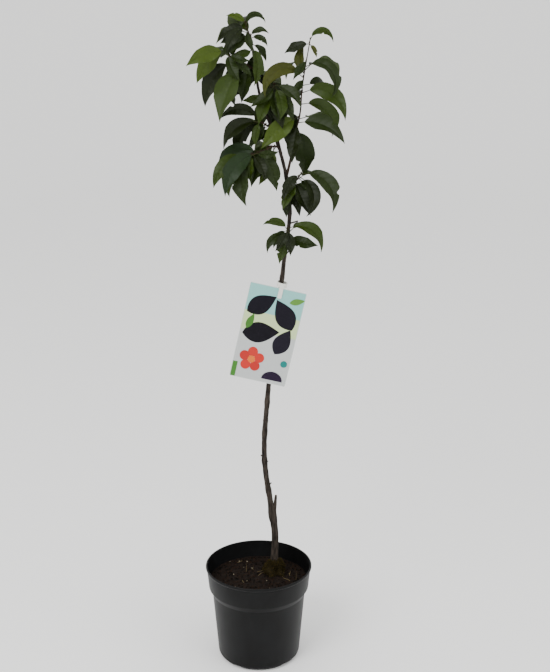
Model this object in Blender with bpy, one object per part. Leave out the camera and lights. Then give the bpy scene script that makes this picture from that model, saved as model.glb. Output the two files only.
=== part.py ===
"""A young grafted plum tree in a black nursery pot, with a picture card hung on its trunk.

The origin is the middle of the pot's flat underside, +Z is up and the front of the tree faces -Y.
The trunk runs whole from the compost to the crown. Every mass of foliage grows from one stem that
meets the trunk, or the tip of the side bough, with a small gap. Sprays of leaves hang from the
stem by a seeded rule, which leaves out what finds no room. More leaves fill each mass from behind
without closing the crown's open sky.
"""

import math
import random
from dataclasses import dataclass

import bmesh
import bpy
import numpy as np
from mathutils import Vector
from mathutils.bvhtree import BVHTree

MM = 0.001

# Nursery pot.
POT_HEIGHT = 0.193
POT_RIM_RADIUS = 0.105
POT_COLLAR_FOOT_RADIUS = 0.0992
POT_COLLAR_FOOT = 0.150
POT_BODY_TOP = 0.135
POT_BODY_RADIUS = 0.0920
POT_HEEL = 0.011
POT_HEEL_RADIUS = 0.0816
POT_SOLE_RADIUS = 0.0700
POT_WALL = 0.0020
POT_FLOOR = 0.0030
POT_SIDES = 36
NOTCHES = 5
NOTCH_WIDTH = 0.026
NOTCH_HEIGHT = 0.0070
NOTCH_INNER = 0.0600
NOTCH_FIRST_BEARING = -121.0

# Compost and the mossy lump round the trunk's foot.
FIT_GAP = 0.0003
COMPOST_TOP = 0.1640
COMPOST_SWELL = 0.0030
MOSS_RADIUS = 0.0250
MOSS_HEIGHT = 0.0260
MOSS_MIDDLE = (0.0330, 0.0255)

# Trunk, in millimetres: its bends as places to the right of the pot's middle and heights.
TRUNK_BENDS = (
    (30, 164.6), (32, 250), (24, 306), (12, 400), (18, 530), (34, 680), (48, 790), (59, 915),
    (40, 1010), (6, 1100), (-6, 1171),
)
TRUNK_DEPTH = 30
TRUNK_BOW = 5.0
TRUNK_TIP_RADIUS = 2.0
TRUNK_TAPER = 3.9
TRUNK_TAPER_POWER = 0.75
ROOTSTOCK_EXTRA = 1.2
GRAFT_HEIGHT = 284
GRAFT_SWELL = 2.2
GRAFT_SPREAD = 14
ROOT_FLARE = 6.4
ROOT_FLARE_RISE = 12
JOINT_FIRST = 336
JOINT_STEP = 62
JOINT_SWELL = 0.8
JOINT_SPREAD = 8
TRUNK_RINGS = 52
TRUNK_SIDES = 10
# Cut stubs: height on the trunk, heading with 90 up, length, radius at foot and tip.
TRUNK_STUBS = (
    (274, 84, 52, 5.6, 2.4), (345, 45, 10, 2.2, 1.2), (392, 45, 9, 2.0, 1.1),
    (404, 135, 10, 2.0, 1.1), (813, 45, 11, 1.7, 1.1), (872, 15, 17, 1.6, 1.3),
)

# Side bough: its height on the trunk and its bends from there.
BOUGH_HEIGHT = 957
BOUGH_BENDS = ((0, 0, 0), (5, 0, 20), (10, 0, 44), (13, 0, 72))
BOUGH_FOOT_RADIUS = 2.7
BOUGH_TIP_RADIUS = 1.9
BOUGH_RINGS = 9
END_GAP = 0.6

# Picture card and the strap that holds it to the trunk.
CARD_WIDTH = 0.108
CARD_HEIGHT = 0.187
CARD_THICKNESS = 0.0010
CARD_CORNER = 0.0030
CARD_TILT = 12.8
CARD_CENTRE = (0.0190, 0.0080, 0.6640)
STRAP_WIDTH = 0.0080
STRAP_THICKNESS = 0.0009
STRAP_HALF_SPAN = 0.0085
STRAP_TAB = 0.0200

# Stems and leaves.
STEM_FOOT_RADIUS = 1.85
STEM_TIP_RADIUS = 0.9
LEAF_THICKNESS = 0.0013
STALK_RADIUS = 0.00075
STALK_SHARE = 0.17
WIDTH_MOST = 0.47
WIDTH_LOSS = 0.0014
LEAF_FOLD = 16.0
BLADE_STATIONS = (0.14, 0.36, 0.60, 0.82)
WIDEST = 0.42
CLEARANCE = 0.0006
SPRAY_TRIES = 40
RULE_TRIES = 160
HIDDEN_SHARE = 0.84
FRONT_POINT = np.array((0.03, -2.0, 1.2))
SEED = 41


@dataclass(frozen=True)
class Spray:
    """Leaves that leave the stem close together.

    share is the place along the stem. heading is the way the middle leaf leaves it and bend how
    far its midrib turns from there, in degrees seen from the front with 0 to the right and 90 up.
    length is a blade's, in millimetres. fan is the angle from one leaf to the next.
    """

    share: float
    heading: float
    bend: float
    length: float
    count: int = 1
    fan: float = 0.0


@dataclass(frozen=True)
class Mass:
    """One mass of foliage: its foot's height, its stem's bends from there and its sprays."""

    name: str
    foot: float
    stem: tuple
    sprays: tuple
    behind: int


MASSES = (
    Mass("top_foliage", TRUNK_BENDS[-1][1], ((-3, -1, 24), (-13, -8, 55)), (
        Spray(1.00, 130, 60, 32),
        Spray(0.95, 80, -150, 44),
        Spray(0.85, 188, 60, 54, 2, 30),
        Spray(0.50, 180, 40, 56, 2, 26),
        Spray(0.55, 35, -90, 34, 2, 34),
        Spray(0.25, 285, -45, 64, 2, 20),
    ), 7),
    Mass("upper_left_foliage", 1146, ((-20, -10, 12), (-38, -16, 17), (-50, -18, 38)), (
        Spray(0.95, 195, 38, 72, 2, 30),
        Spray(0.70, 215, 48, 92),
        Spray(0.42, 236, 26, 104),
        Spray(0.55, 250, 30, 70, 2, 18),
        Spray(0.25, 260, -5, 54),
    ), 8),
    Mass("upper_right_foliage", 1101, ((12, -6, 7), (26, -12, 21)), (
        Spray(1.00, -35, -50, 56, 2, 40),
        Spray(0.75, -96, 5, 58, 2, 34),
        Spray(0.40, 20, -90, 50),
        Spray(0.25, -70, -25, 64, 2, 40),
        Spray(0.20, 60, -130, 54),
    ), 7),
    Mass("middle_left_foliage", 1046, ((-13, -8, 7), (-23, -14, 14)), (
        Spray(1.00, 130, 100, 70),
        Spray(0.85, 190, 80, 80, 2, 26),
    ), 4),
    Mass("middle_foliage", 1011, ((-12, -20, 3), (-32, -34, -5), (-60, -40, -10)), (
        Spray(1.00, 206, 64, 78, 2, 26),
        Spray(0.90, 240, 44, 78, 2, 16),
        Spray(0.65, 184, 74, 92, 2, 24),
        Spray(0.50, 226, 20, 62, 2, 28),
        Spray(0.18, 250, -25, 66, 2, 18),
    ), 9),
    Mass("right_shoot_foliage", 1029, ((10, 0, 35), (15, 0, 88), (28, -2, 169)), (
        Spray(1.00, 62, -140, 52),
        Spray(0.97, -45, -35, 24),
        Spray(0.66, 118, -60, 48),
        Spray(0.62, 140, 140, 92),
        Spray(0.72, 22, -150, 94),
        Spray(0.40, 12, -108, 104, 2, 16),
        Spray(0.14, 10, -66, 92),
        Spray(0.10, -68, -30, 86),
        Spray(0.22, 208, 24, 84),
        Spray(0.06, 95, 0, 16, 4, 38),
    ), 6),
    Mass("right_spur_foliage", 932, ((12, -6, 18), (23, -12, 33)), (
        Spray(1.00, 4, -112, 100),
        Spray(0.80, -28, -108, 80),
        Spray(0.55, -80, 14, 58, 2, 16),
        Spray(0.25, -98, 20, 46, 2, 20),
    ), 6),
    Mass("low_spur_foliage", 843, ((-2, -9, 9), (1, -14, 23)), (
        Spray(0.90, 125, 90, 46),
        Spray(0.55, 178, 92, 46),
        Spray(0.90, 265, -15, 42, 2, 36),
        Spray(1.00, 18, -112, 80),
        Spray(0.25, 250, 8, 42),
    ), 3),
)


def clear_scene() -> None:
    """Remove every object the start-up file brings."""
    for thing in list(bpy.data.objects):
        bpy.data.objects.remove(thing, do_unlink=True)


def finish(name: str, colour: tuple, roughness: float) -> bpy.types.Material:
    """Make one plain material."""
    material = bpy.data.materials.new(name)
    material.use_nodes = True
    shader = material.node_tree.nodes["Principled BSDF"]
    shader.inputs["Base Color"].default_value = (*colour, 1.0)
    shader.inputs["Roughness"].default_value = roughness
    material.diffuse_color = (*colour, 1.0)
    return material


def build(name: str, points: list, faces: list, material) -> bpy.types.Object:
    """Make one closed mesh object with its faces turned outward."""
    mesh = bpy.data.meshes.new(name)
    mesh.from_pydata([tuple(map(float, point)) for point in points], [], faces)
    work = bmesh.new()
    work.from_mesh(mesh)
    bmesh.ops.recalc_face_normals(work, faces=work.faces)
    work.to_mesh(mesh)
    work.free()
    mesh.materials.append(material)
    thing = bpy.data.objects.new(name, mesh)
    bpy.context.scene.collection.objects.link(thing)
    return thing


def unit(vector: np.ndarray) -> np.ndarray:
    """Scale a vector to length one."""
    return vector / np.linalg.norm(vector)


def smooth_way(stations: tuple, count: int) -> np.ndarray:
    """Run a smooth curve through key stations given in millimetres; rows are x, y, z, radius."""
    keys = np.array(stations, float) * MM
    steps = np.linalg.norm(np.diff(keys[:, :3], axis=0), axis=1)
    reach = np.concatenate(([0.0], np.cumsum(steps)))
    slopes = np.gradient(keys, reach, axis=0)
    way = []
    for spot in np.linspace(0.0, reach[-1], count):
        index = min(int(np.searchsorted(reach, spot, side="right")) - 1, len(keys) - 2)
        span = reach[index + 1] - reach[index]
        t = (spot - reach[index]) / span
        way.append((2 * t**3 - 3 * t**2 + 1) * keys[index]
                   + (t**3 - 2 * t**2 + t) * span * slopes[index]
                   + (3 * t**2 - 2 * t**3) * keys[index + 1]
                   + (t**3 - t**2) * span * slopes[index + 1])
    return np.array(way)


def loft(rings: list) -> tuple:
    """Join rings of equal count into a closed skin with flat ends."""
    size = len(rings[0])
    points = [point for ring in rings for point in ring]
    faces = [tuple(range(size))[::-1]]
    for row in range(len(rings) - 1):
        for k in range(size):
            here = row * size + k
            beside = row * size + (k + 1) % size
            faces.append((here, beside, beside + size, here + size))
    faces.append(tuple(range((len(rings) - 1) * size, len(rings) * size)))
    return points, faces


def tube(way: np.ndarray, sides: int, level: int = 0) -> tuple:
    """Skin a tapering limb along a way; the first level rings lie flat."""
    middles = way[:, :3]
    heads = np.gradient(middles, axis=0)
    side = unit(np.cross(heads[0], (0.0, 1.0, 0.0)))
    rings = []
    for row, (middle, head) in enumerate(zip(middles, heads)):
        head = unit(head)
        side = unit(side - head * side.dot(head))
        up = np.cross(head, side)
        if row < level:
            side, up = np.array((1.0, 0.0, 0.0)), np.array((0.0, 1.0, 0.0))
            if np.cross(side, up).dot(head) < 0:
                up = -up
        radius = way[row, 3]
        turns = [2 * math.pi * k / sides for k in range(sides)]
        rings.append([middle + radius * (math.cos(a) * side + math.sin(a) * up) for a in turns])
    return loft(rings)


def lathe(name: str, profile: list, sides: int, material) -> bpy.types.Object:
    """Spin a profile of (radius, z) pairs, which starts and ends on the axis, into a solid."""
    work = bmesh.new()
    points = [work.verts.new((radius, 0.0, height)) for radius, height in profile]
    edges = [work.edges.new(pair) for pair in zip(points, points[1:])]
    bmesh.ops.spin(work, geom=points + edges, cent=(0, 0, 0), axis=(0, 0, 1), angle=math.tau,
                   steps=sides, use_merge=True)
    bmesh.ops.remove_doubles(work, verts=work.verts, dist=0.00001)
    bmesh.ops.recalc_face_normals(work, faces=work.faces)
    mesh = bpy.data.meshes.new(name)
    work.to_mesh(mesh)
    work.free()
    mesh.materials.append(material)
    thing = bpy.data.objects.new(name, mesh)
    bpy.context.scene.collection.objects.link(thing)
    return thing


def combine(thing, others: list, operation: str) -> None:
    """Apply one Boolean of a whole collection to an object and remove the collection's objects."""
    tools = bpy.data.collections.new(thing.name + "_tools")
    bpy.context.scene.collection.children.link(tools)
    for other in others:
        bpy.context.scene.collection.objects.unlink(other)
        tools.objects.link(other)
    cut = thing.modifiers.new("combine", "BOOLEAN")
    cut.operation = operation
    cut.operand_type = "COLLECTION"
    cut.collection = tools
    cut.solver = "EXACT"
    seen = thing.evaluated_get(bpy.context.evaluated_depsgraph_get())
    mesh = bpy.data.meshes.new_from_object(seen)
    thing.modifiers.clear()
    thing.data = mesh
    for other in list(tools.objects):
        bpy.data.objects.remove(other, do_unlink=True)
    bpy.data.collections.remove(tools)


def keep_largest(thing) -> None:
    """Drop every loose scrap but the largest piece, and weld doubled points."""
    work = bmesh.new()
    work.from_mesh(thing.data)
    bmesh.ops.remove_doubles(work, verts=work.verts, dist=0.00002)
    waiting = set(work.faces)
    pieces = []
    while waiting:
        front = [waiting.pop()]
        piece = set(front)
        while front:
            face = front.pop()
            for edge in face.edges:
                for other in edge.link_faces:
                    if other in waiting and len(edge.link_faces) == 2:
                        waiting.remove(other)
                        piece.add(other)
                        front.append(other)
        pieces.append(piece)
    largest = max(pieces, key=len)
    scraps = [face for piece in pieces if piece is not largest for face in piece]
    bmesh.ops.delete(work, geom=scraps, context="FACES")
    loose = [point for point in work.verts if not point.link_faces]
    bmesh.ops.delete(work, geom=loose, context="VERTS")
    bmesh.ops.triangulate(work, faces=work.faces)
    work.to_mesh(thing.data)
    work.free()


def pot_profile() -> list:
    """Trace the pot's wall: up the outside, over the rim and down the inside."""
    inner_floor = POT_SOLE_RADIUS - 0.5 * POT_WALL
    return [
        (0.0, 0.0), (NOTCH_INNER - 0.006, 0.0), (POT_SOLE_RADIUS, 0.0),
        (POT_SOLE_RADIUS + 0.0055, 0.0020), (POT_HEEL_RADIUS - 0.0018, 0.0060),
        (POT_HEEL_RADIUS, POT_HEEL), (POT_BODY_RADIUS, POT_BODY_TOP),
        (POT_BODY_RADIUS + 0.0012, POT_BODY_TOP + 0.0035),
        (POT_COLLAR_FOOT_RADIUS - 0.0012, POT_COLLAR_FOOT - 0.0035),
        (POT_COLLAR_FOOT_RADIUS, POT_COLLAR_FOOT), (POT_RIM_RADIUS - 0.0012, POT_HEIGHT - 0.0050),
        (POT_RIM_RADIUS, POT_HEIGHT - 0.0035), (POT_RIM_RADIUS, POT_HEIGHT - 0.0007),
        (POT_RIM_RADIUS - 0.0010, POT_HEIGHT), (POT_RIM_RADIUS - POT_WALL - 0.0008, POT_HEIGHT),
        (POT_COLLAR_FOOT_RADIUS - POT_WALL, POT_COLLAR_FOOT),
        (POT_BODY_RADIUS - POT_WALL, POT_BODY_TOP - 0.002),
        (POT_HEEL_RADIUS - POT_WALL, POT_HEEL + 0.001), (inner_floor, POT_FLOOR), (0.0, POT_FLOOR),
    ]


def make_pot(material) -> bpy.types.Object:
    """Spin the pot and cut the drainage notches through its bottom corner."""
    pot = lathe("pot", pot_profile(), POT_SIDES, material)
    cutters = []
    for k in range(NOTCHES):
        angle = math.radians(NOTCH_FIRST_BEARING + 360.0 / NOTCHES * k)
        out = np.array((math.cos(angle), math.sin(angle), 0.0))
        across = np.array((-math.sin(angle), math.cos(angle), 0.0))
        rings = []
        for reach in (NOTCH_INNER, POT_RIM_RADIUS):
            corners = ((-0.5, -0.004), (0.5, -0.004), (0.5, 0.0025), (0.28, NOTCH_HEIGHT),
                       (-0.28, NOTCH_HEIGHT), (-0.5, 0.0025))
            rings.append([out * reach + across * NOTCH_WIDTH * share + np.array((0, 0, height))
                          for share, height in corners])
        cutter = build("notch", *loft(rings), material)
        cutter.display_type = "WIRE"
        cutter.hide_render = True
        cutters.append(cutter)
    combine(pot, cutters, "DIFFERENCE")
    keep_largest(pot)
    return pot


def make_compost(material) -> bpy.types.Object:
    """Fill the pot with compost, a little higher in the middle."""
    def inside(height: float) -> float:
        body = (height - POT_HEEL) / (POT_BODY_TOP - POT_HEEL)
        if body <= 1.0:
            wall = POT_HEEL_RADIUS + body * (POT_BODY_RADIUS - POT_HEEL_RADIUS)
        else:
            collar = (height - POT_COLLAR_FOOT) / (POT_HEIGHT - POT_COLLAR_FOOT)
            wall = POT_COLLAR_FOOT_RADIUS + max(0.0, collar) * (POT_RIM_RADIUS - 0.0012
                                                                - POT_COLLAR_FOOT_RADIUS)
        return wall - POT_WALL - 2.2 * FIT_GAP

    floor = POT_FLOOR + FIT_GAP
    edge = COMPOST_TOP - COMPOST_SWELL
    profile = [
        (0.0, floor), (POT_SOLE_RADIUS - 0.0030, floor), (inside(POT_HEEL + 0.003), POT_HEEL + 0.003),
        (inside(POT_BODY_TOP - 0.004), POT_BODY_TOP - 0.004),
        (inside(POT_COLLAR_FOOT + 0.0005), POT_COLLAR_FOOT + 0.0005),
        (inside(edge), edge), (0.080, edge + 0.0012), (0.058, COMPOST_TOP),
        (0.0, COMPOST_TOP),
    ]
    return lathe("compost", profile, POT_SIDES, material)


def trunk_radius(height: float) -> float:
    """Give the trunk's radius at a height: taper, rootstock, graft, root flare and joints."""
    low, high = TRUNK_BENDS[0][1], TRUNK_BENDS[-1][1]
    climb = min(1.0, (height - low) / (high - low))
    radius = TRUNK_TIP_RADIUS + TRUNK_TAPER * (1.0 - climb) ** TRUNK_TAPER_POWER
    radius += ROOTSTOCK_EXTRA / (1.0 + math.exp((height - GRAFT_HEIGHT - 6) / 8))
    radius += GRAFT_SWELL * math.exp(-((height - GRAFT_HEIGHT) / GRAFT_SPREAD) ** 2)
    radius += ROOT_FLARE * math.exp((low - height) / ROOT_FLARE_RISE)
    joint = (height - JOINT_FIRST) / JOINT_STEP
    if joint > -0.5:
        away = (joint - round(joint)) * JOINT_STEP
        radius += JOINT_SWELL * math.exp(-(away / JOINT_SPREAD) ** 2)
    return radius


def trunk_way(extra: float = 0.0) -> np.ndarray:
    """Give the trunk's way; extra is added to the radius."""
    bends = [(x, TRUNK_DEPTH, z, 0.0) for x, z in TRUNK_BENDS]
    way = smooth_way(bends, TRUNK_RINGS)
    for row in way:
        climb = (row[2] - way[0, 2]) / (BOUGH_HEIGHT * MM - way[0, 2])
        row[1] += TRUNK_BOW * MM * math.sin(math.tau * min(1.0, climb))
        row[3] = trunk_radius(min(row[2] / MM, TRUNK_BENDS[-1][1])) * MM + extra
    return way


def trunk_at(height: float) -> np.ndarray:
    """Give the middle of the trunk at a height; all in millimetres."""
    way = trunk_way() / MM
    return np.array((np.interp(height, way[:, 2], way[:, 0]),
                     np.interp(height, way[:, 2], way[:, 1]), height))


def limb(foot: np.ndarray, bends: tuple, first: float, last: float, count: int) -> np.ndarray:
    """Run a limb from a foot through bends told from there, its radius tapering evenly."""
    radii = np.linspace(first, last, len(bends))
    stations = [(*(foot + bend), radius) for bend, radius in zip(np.array(bends, float), radii)]
    return smooth_way(stations, count)


def bough_way() -> np.ndarray:
    """Give the side bough's way from inside the trunk to its tip."""
    return limb(trunk_at(BOUGH_HEIGHT), BOUGH_BENDS, BOUGH_FOOT_RADIUS, BOUGH_TIP_RADIUS,
                BOUGH_RINGS)


def stem_way(mass: Mass, count: int) -> np.ndarray:
    """Give the way of a mass's stem, from inside the trunk or just beyond a limb's tip."""
    foot = trunk_at(mass.foot)
    if mass.name == "top_foliage":
        foot = foot + unit(np.array(mass.stem[0], float)) * END_GAP
    if mass.name == "right_shoot_foliage":
        foot = bough_way()[-1, :3] / MM + unit(np.array(mass.stem[0], float)) * END_GAP
    return limb(foot, ((0, 0, 0), *mass.stem), STEM_FOOT_RADIUS, STEM_TIP_RADIUS, count)


def make_trunk(material) -> bpy.types.Object:
    """Build the trunk from the compost to the crown, with the cut rootstock and small stubs."""
    trunk = build("trunk", *tube(trunk_way(), TRUNK_SIDES, 1), material)
    stubs = []
    for height, heading, length, low, high in TRUNK_STUBS:
        angle = math.radians(heading)
        tip = (length * math.cos(angle), 0, length * math.sin(angle))
        way = limb(trunk_at(height), ((0, 0, 0), tip), low, high, 3)
        stubs.append(build("stub", *tube(way, 8), material))
    combine(trunk, stubs, "UNION")
    keep_largest(trunk)
    return trunk


def trunk_sleeve(material) -> bpy.types.Object:
    """Make a copy of the trunk's skin, wider by the fitting gap, to cut joints clear of it."""
    sleeve = build("sleeve", *tube(trunk_way(FIT_GAP * 1.3), TRUNK_SIDES), material)
    sleeve.hide_render = True
    sleeve.display_type = "WIRE"
    return sleeve


def make_bough(material) -> bpy.types.Object:
    """Build the side bough and cut its foot to the trunk's round."""
    bough = build("right_bough", *tube(bough_way(), 8), material)
    combine(bough, [trunk_sleeve(material)], "DIFFERENCE")
    keep_largest(bough)
    return bough


def make_moss(material) -> bpy.types.Object:
    """Heap a lumpy ring of moss round the trunk's foot, clear of trunk and compost."""
    draw = random.Random(SEED)
    floor = COMPOST_TOP + FIT_GAP
    sides = 18
    rings = []
    for share, height in ((1.0, 0.0), (0.94, 0.35), (0.76, 0.75), (0.50, 1.0)):
        ring = []
        for k in range(sides):
            angle = 2 * math.pi * k / sides
            lump = 1.0 + (draw.uniform(-0.09, 0.09) if height else 0.0)
            radius = MOSS_RADIUS * share * lump
            ring.append((MOSS_MIDDLE[0] + radius * math.cos(angle),
                         MOSS_MIDDLE[1] + radius * math.sin(angle),
                         floor + MOSS_HEIGHT * height * (1.0 if height < 0.3 else lump)))
        rings.append(ring)
    moss = build("moss_mound", *loft(rings), material)
    way = trunk_way(FIT_GAP * 1.3)
    way = np.vstack((way[0] - np.array((0, 0, 0.006, 0)), way))
    sleeve = build("sleeve", *tube(way, TRUNK_SIDES, 2), material)
    combine(moss, [sleeve], "DIFFERENCE")
    keep_largest(moss)
    return moss


def card_axes() -> tuple:
    """Give the card's centre and its across and up directions."""
    tilt = math.radians(CARD_TILT)
    across = np.array((math.cos(tilt), 0.0, -math.sin(tilt)))
    up = np.array((math.sin(tilt), 0.0, math.cos(tilt)))
    return np.array(CARD_CENTRE), across, up


def make_card(material) -> bpy.types.Object:
    """Build the thin hanging card with small round corners and hang it tilted."""
    work = bmesh.new()
    bmesh.ops.create_cube(work, size=1.0)
    bmesh.ops.scale(work, vec=(CARD_WIDTH, CARD_THICKNESS, CARD_HEIGHT), verts=work.verts)
    corners = [edge for edge in work.edges
               if abs(edge.verts[0].co.y - edge.verts[1].co.y) > CARD_THICKNESS / 2]
    bmesh.ops.bevel(work, geom=corners, offset=CARD_CORNER, segments=3, profile=0.5,
                    affect="EDGES")
    mesh = bpy.data.meshes.new("picture_card")
    work.to_mesh(mesh)
    work.free()
    mesh.materials.append(material)
    card = bpy.data.objects.new("picture_card", mesh)
    card.location = CARD_CENTRE
    card.rotation_euler = (0.0, math.radians(CARD_TILT), 0.0)
    bpy.context.scene.collection.objects.link(card)
    return card


def make_strap(material) -> bpy.types.Object:
    """Loop a flat strap round the trunk above the card and bring its tab down the card's face."""
    centre, across, up = card_axes()
    trunk = trunk_way()
    top = centre + up * (CARD_HEIGHT / 2)
    row = trunk[np.argmin(np.abs(trunk[:, 2] - top[2] - 0.006))]
    slide = (row[0] - top[0]) / across[0]
    front = top + across * slide + np.array((0, -CARD_THICKNESS / 2 - FIT_GAP, 0))
    back_y = row[1] + row[3] + FIT_GAP + 0.0004
    middle_y = (front[1] + back_y) / 2
    half_depth = (back_y - front[1]) / 2
    sides = 20
    rings = []
    corners = ((0.0, 0.0012), (STRAP_THICKNESS, 0.0012), (STRAP_THICKNESS, 0.0012 + STRAP_WIDTH),
               (0.0, 0.0012 + STRAP_WIDTH))
    for out, rise in corners:
        ring = []
        for k in range(sides):
            angle = 2 * math.pi * k / sides
            wide = (STRAP_HALF_SPAN + out) * math.copysign(abs(math.cos(angle)) ** 0.7,
                                                           math.cos(angle))
            deep = (half_depth + out) * math.copysign(abs(math.sin(angle)) ** 0.7, math.sin(angle))
            ring.append(front + across * wide + up * rise
                        + np.array((0, middle_y - front[1] + deep, 0)))
        rings.append(ring)
    points = [point for ring in rings for point in ring]
    faces = []
    for row_index in range(4):
        for k in range(sides):
            low, high = row_index * sides, (row_index + 1) % 4 * sides
            faces.append((low + k, low + (k + 1) % sides, high + (k + 1) % sides, high + k))
    strap = build("card_strap", points, faces, material)
    rings = []
    for rise in (-STRAP_TAB, 0.0012 + STRAP_WIDTH * 0.75):
        half = STRAP_WIDTH / 2
        rings.append([front + across * a + up * rise + np.array((0, b, 0))
                      for a, b in ((-half, -STRAP_THICKNESS), (half, -STRAP_THICKNESS),
                                   (half, -0.00005), (-half, -0.00005))])
    tab = build("tab", *loft(rings), material)
    combine(strap, [tab], "UNION")
    keep_largest(strap)
    return strap


def half_width(share: float) -> float:
    """Give the blade's half width, as a share of its widest, at a share of its length."""
    rise = WIDEST / (1 - WIDEST)
    peak = WIDEST ** rise * (1 - WIDEST)
    return share ** rise * (1 - share) / peak


class Blade:
    """A leaf blade in space: where its midrib runs and how its sides lie."""

    def __init__(self, base: np.ndarray, length: float, width: float) -> None:
        self.base = base
        self.length = length
        self.width = width
        self.heads = []
        self.sides = []

    def lay(self, head_of, side_of) -> "Blade":
        """Fill the frames at the blade's base, stations and tip."""
        for share in (0.0, *BLADE_STATIONS, 1.0):
            head = unit(head_of(share))
            side = side_of(share)
            self.heads.append(head)
            self.sides.append(unit(side - head * side.dot(head)))
        return self

    def middles(self) -> list:
        """Walk the midrib from base to tip."""
        shares = (0.0, *BLADE_STATIONS, 1.0)
        spots = [self.base]
        for k in range(1, len(shares)):
            step = (shares[k] - shares[k - 1]) * self.length
            spots.append(spots[-1] + unit(self.heads[k - 1] + self.heads[k]) * step)
        return spots

    def skin(self, root: np.ndarray, start: float = 0.0, extra: float = 0.0) -> tuple:
        """Skin the stalk from root and the blade; start trims the stalk, extra swells it all."""
        spots = self.middles()
        reach = np.linalg.norm(self.base - root)
        knee = self.base - self.heads[0] * min(0.5 * reach, 0.012)
        rings = []
        for t in (start, 0.5 * (1 + start)):
            spot = (1 - t) ** 2 * root + 2 * t * (1 - t) * knee + t * t * self.base
            head = unit(2 * (1 - t) * (knee - root) + 2 * t * (self.base - knee))
            side = self.sides[0] - head * self.sides[0].dot(head)
            side = unit(side)
            rings.append(self.ring(spot, head, side, STALK_RADIUS * 1.15 + extra, 0.0, extra))
        rings.append(self.ring(spots[0], self.heads[0], self.sides[0],
                               STALK_RADIUS * 1.3 + extra, 0.0, extra))
        for k, share in enumerate(BLADE_STATIONS, 1):
            half = half_width(share) * self.width / 2 + extra
            rings.append(self.ring(spots[k], self.heads[k], self.sides[k], half, LEAF_FOLD, extra))
        points, faces = loft(rings)
        faces.pop()
        last = len(points)
        points.append(spots[-1] + self.heads[-1] * extra)
        for k in range(4):
            faces.append((last - 4 + k, last - 4 + (k + 1) % 4, last))
        return points, faces

    def ring(self, spot, head, side, half, fold, extra) -> list:
        """Lay one four-cornered section: left edge, top, right edge, underside."""
        normal = np.cross(head, side)
        thick = (LEAF_THICKNESS if fold else 2 * STALK_RADIUS) / 2 + extra
        lift = normal * half * math.sin(math.radians(fold))
        arm = side * half * math.cos(math.radians(fold))
        return [spot + arm + lift, spot + normal * thick, spot - arm + lift,
                spot - normal * thick]

    def samples(self) -> list:
        """Give points spread over the blade."""
        spots = self.middles()
        out = [spots[-1]]
        for k, share in enumerate(BLADE_STATIONS, 1):
            half = half_width(share) * self.width / 2 * 0.8
            out += [spots[k] + self.sides[k] * half, spots[k], spots[k] - self.sides[k] * half]
        return out


def spray_blade(stem: np.ndarray, spray: Spray, k: int, front: bool, loose: float,
                draw: random.Random) -> tuple:
    """Lay leaf k of a spray, on the stem's front or back; gives the blade and its root."""
    place = k - (spray.count - 1) / 2
    share = min(1.0, max(0.12, spray.share + 0.09 * place))
    root = stem[round(share * (len(stem) - 1)), :3]
    depth = -1.0 if front else 1.0
    start = spray.heading + spray.fan * place + draw.uniform(-10, 10) * loose
    lean = math.radians(draw.uniform(6, 24)) * depth
    turn = math.radians(draw.uniform(4, 38))
    length = spray.length * MM * draw.uniform(0.95, 1.05)
    width = length * (WIDTH_MOST - WIDTH_LOSS * abs(spray.bend))
    away = depth * draw.uniform(0.2, 0.9) * (1.0 + loose)
    angle = math.radians(start)
    out = unit(np.array((math.cos(angle), away, math.sin(angle))))
    base = root + out * length * STALK_SHARE
    facing = 1.0 if math.cos(math.radians(start + spray.bend / 2)) > 0 else -1.0

    def head_of(share: float) -> np.ndarray:
        a = math.radians(start + spray.bend * share ** 0.85)
        return np.array((math.cos(a) * math.cos(lean), math.sin(lean),
                         math.sin(a) * math.cos(lean)))

    def side_of(share: float) -> np.ndarray:
        a = math.radians(start + spray.bend * share ** 0.85)
        return np.array((-math.sin(a) * math.cos(turn), facing * math.sin(turn),
                         math.cos(a) * math.cos(turn)))

    return Blade(base, length, width).lay(head_of, side_of), root


def rule_blade(anchor: np.ndarray, draw: random.Random, order: int) -> Blade:
    """Lay a leaf by the seeded rule: two fifths of a turn from the last, arching over and down."""
    bearing = math.radians(144.0 * order + draw.uniform(-50, 50))
    if math.sin(bearing) < -0.2:
        bearing = -bearing
    rise = math.radians(draw.uniform(5, 45))
    droop = math.radians(draw.uniform(-88, -35))
    roll = math.radians(draw.uniform(-25, 25))
    length = draw.uniform(62, 92) * MM
    width = length * draw.uniform(0.36, 0.44)
    stalk = draw.uniform(9, 20) * MM
    out = np.array((math.cos(bearing), math.sin(bearing), 0.0))
    across = np.array((-math.sin(bearing), math.cos(bearing), 0.0))
    base = anchor + out * stalk * math.cos(rise) + np.array((0, 0, stalk * math.sin(rise)))

    def head_of(share: float) -> np.ndarray:
        slope = rise + (droop - rise) * share ** 0.8
        return out * math.cos(slope) + np.array((0, 0, math.sin(slope)))

    def side_of(share: float) -> np.ndarray:
        normal = np.cross(unit(head_of(share)), across)
        return across * math.cos(roll) + normal * math.sin(roll)

    return Blade(base, length, width).lay(head_of, side_of)


def tree_of(points: list, faces: list) -> BVHTree:
    """Make a search tree from a skin."""
    return BVHTree.FromPolygons([Vector(point) for point in points], faces)


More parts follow.
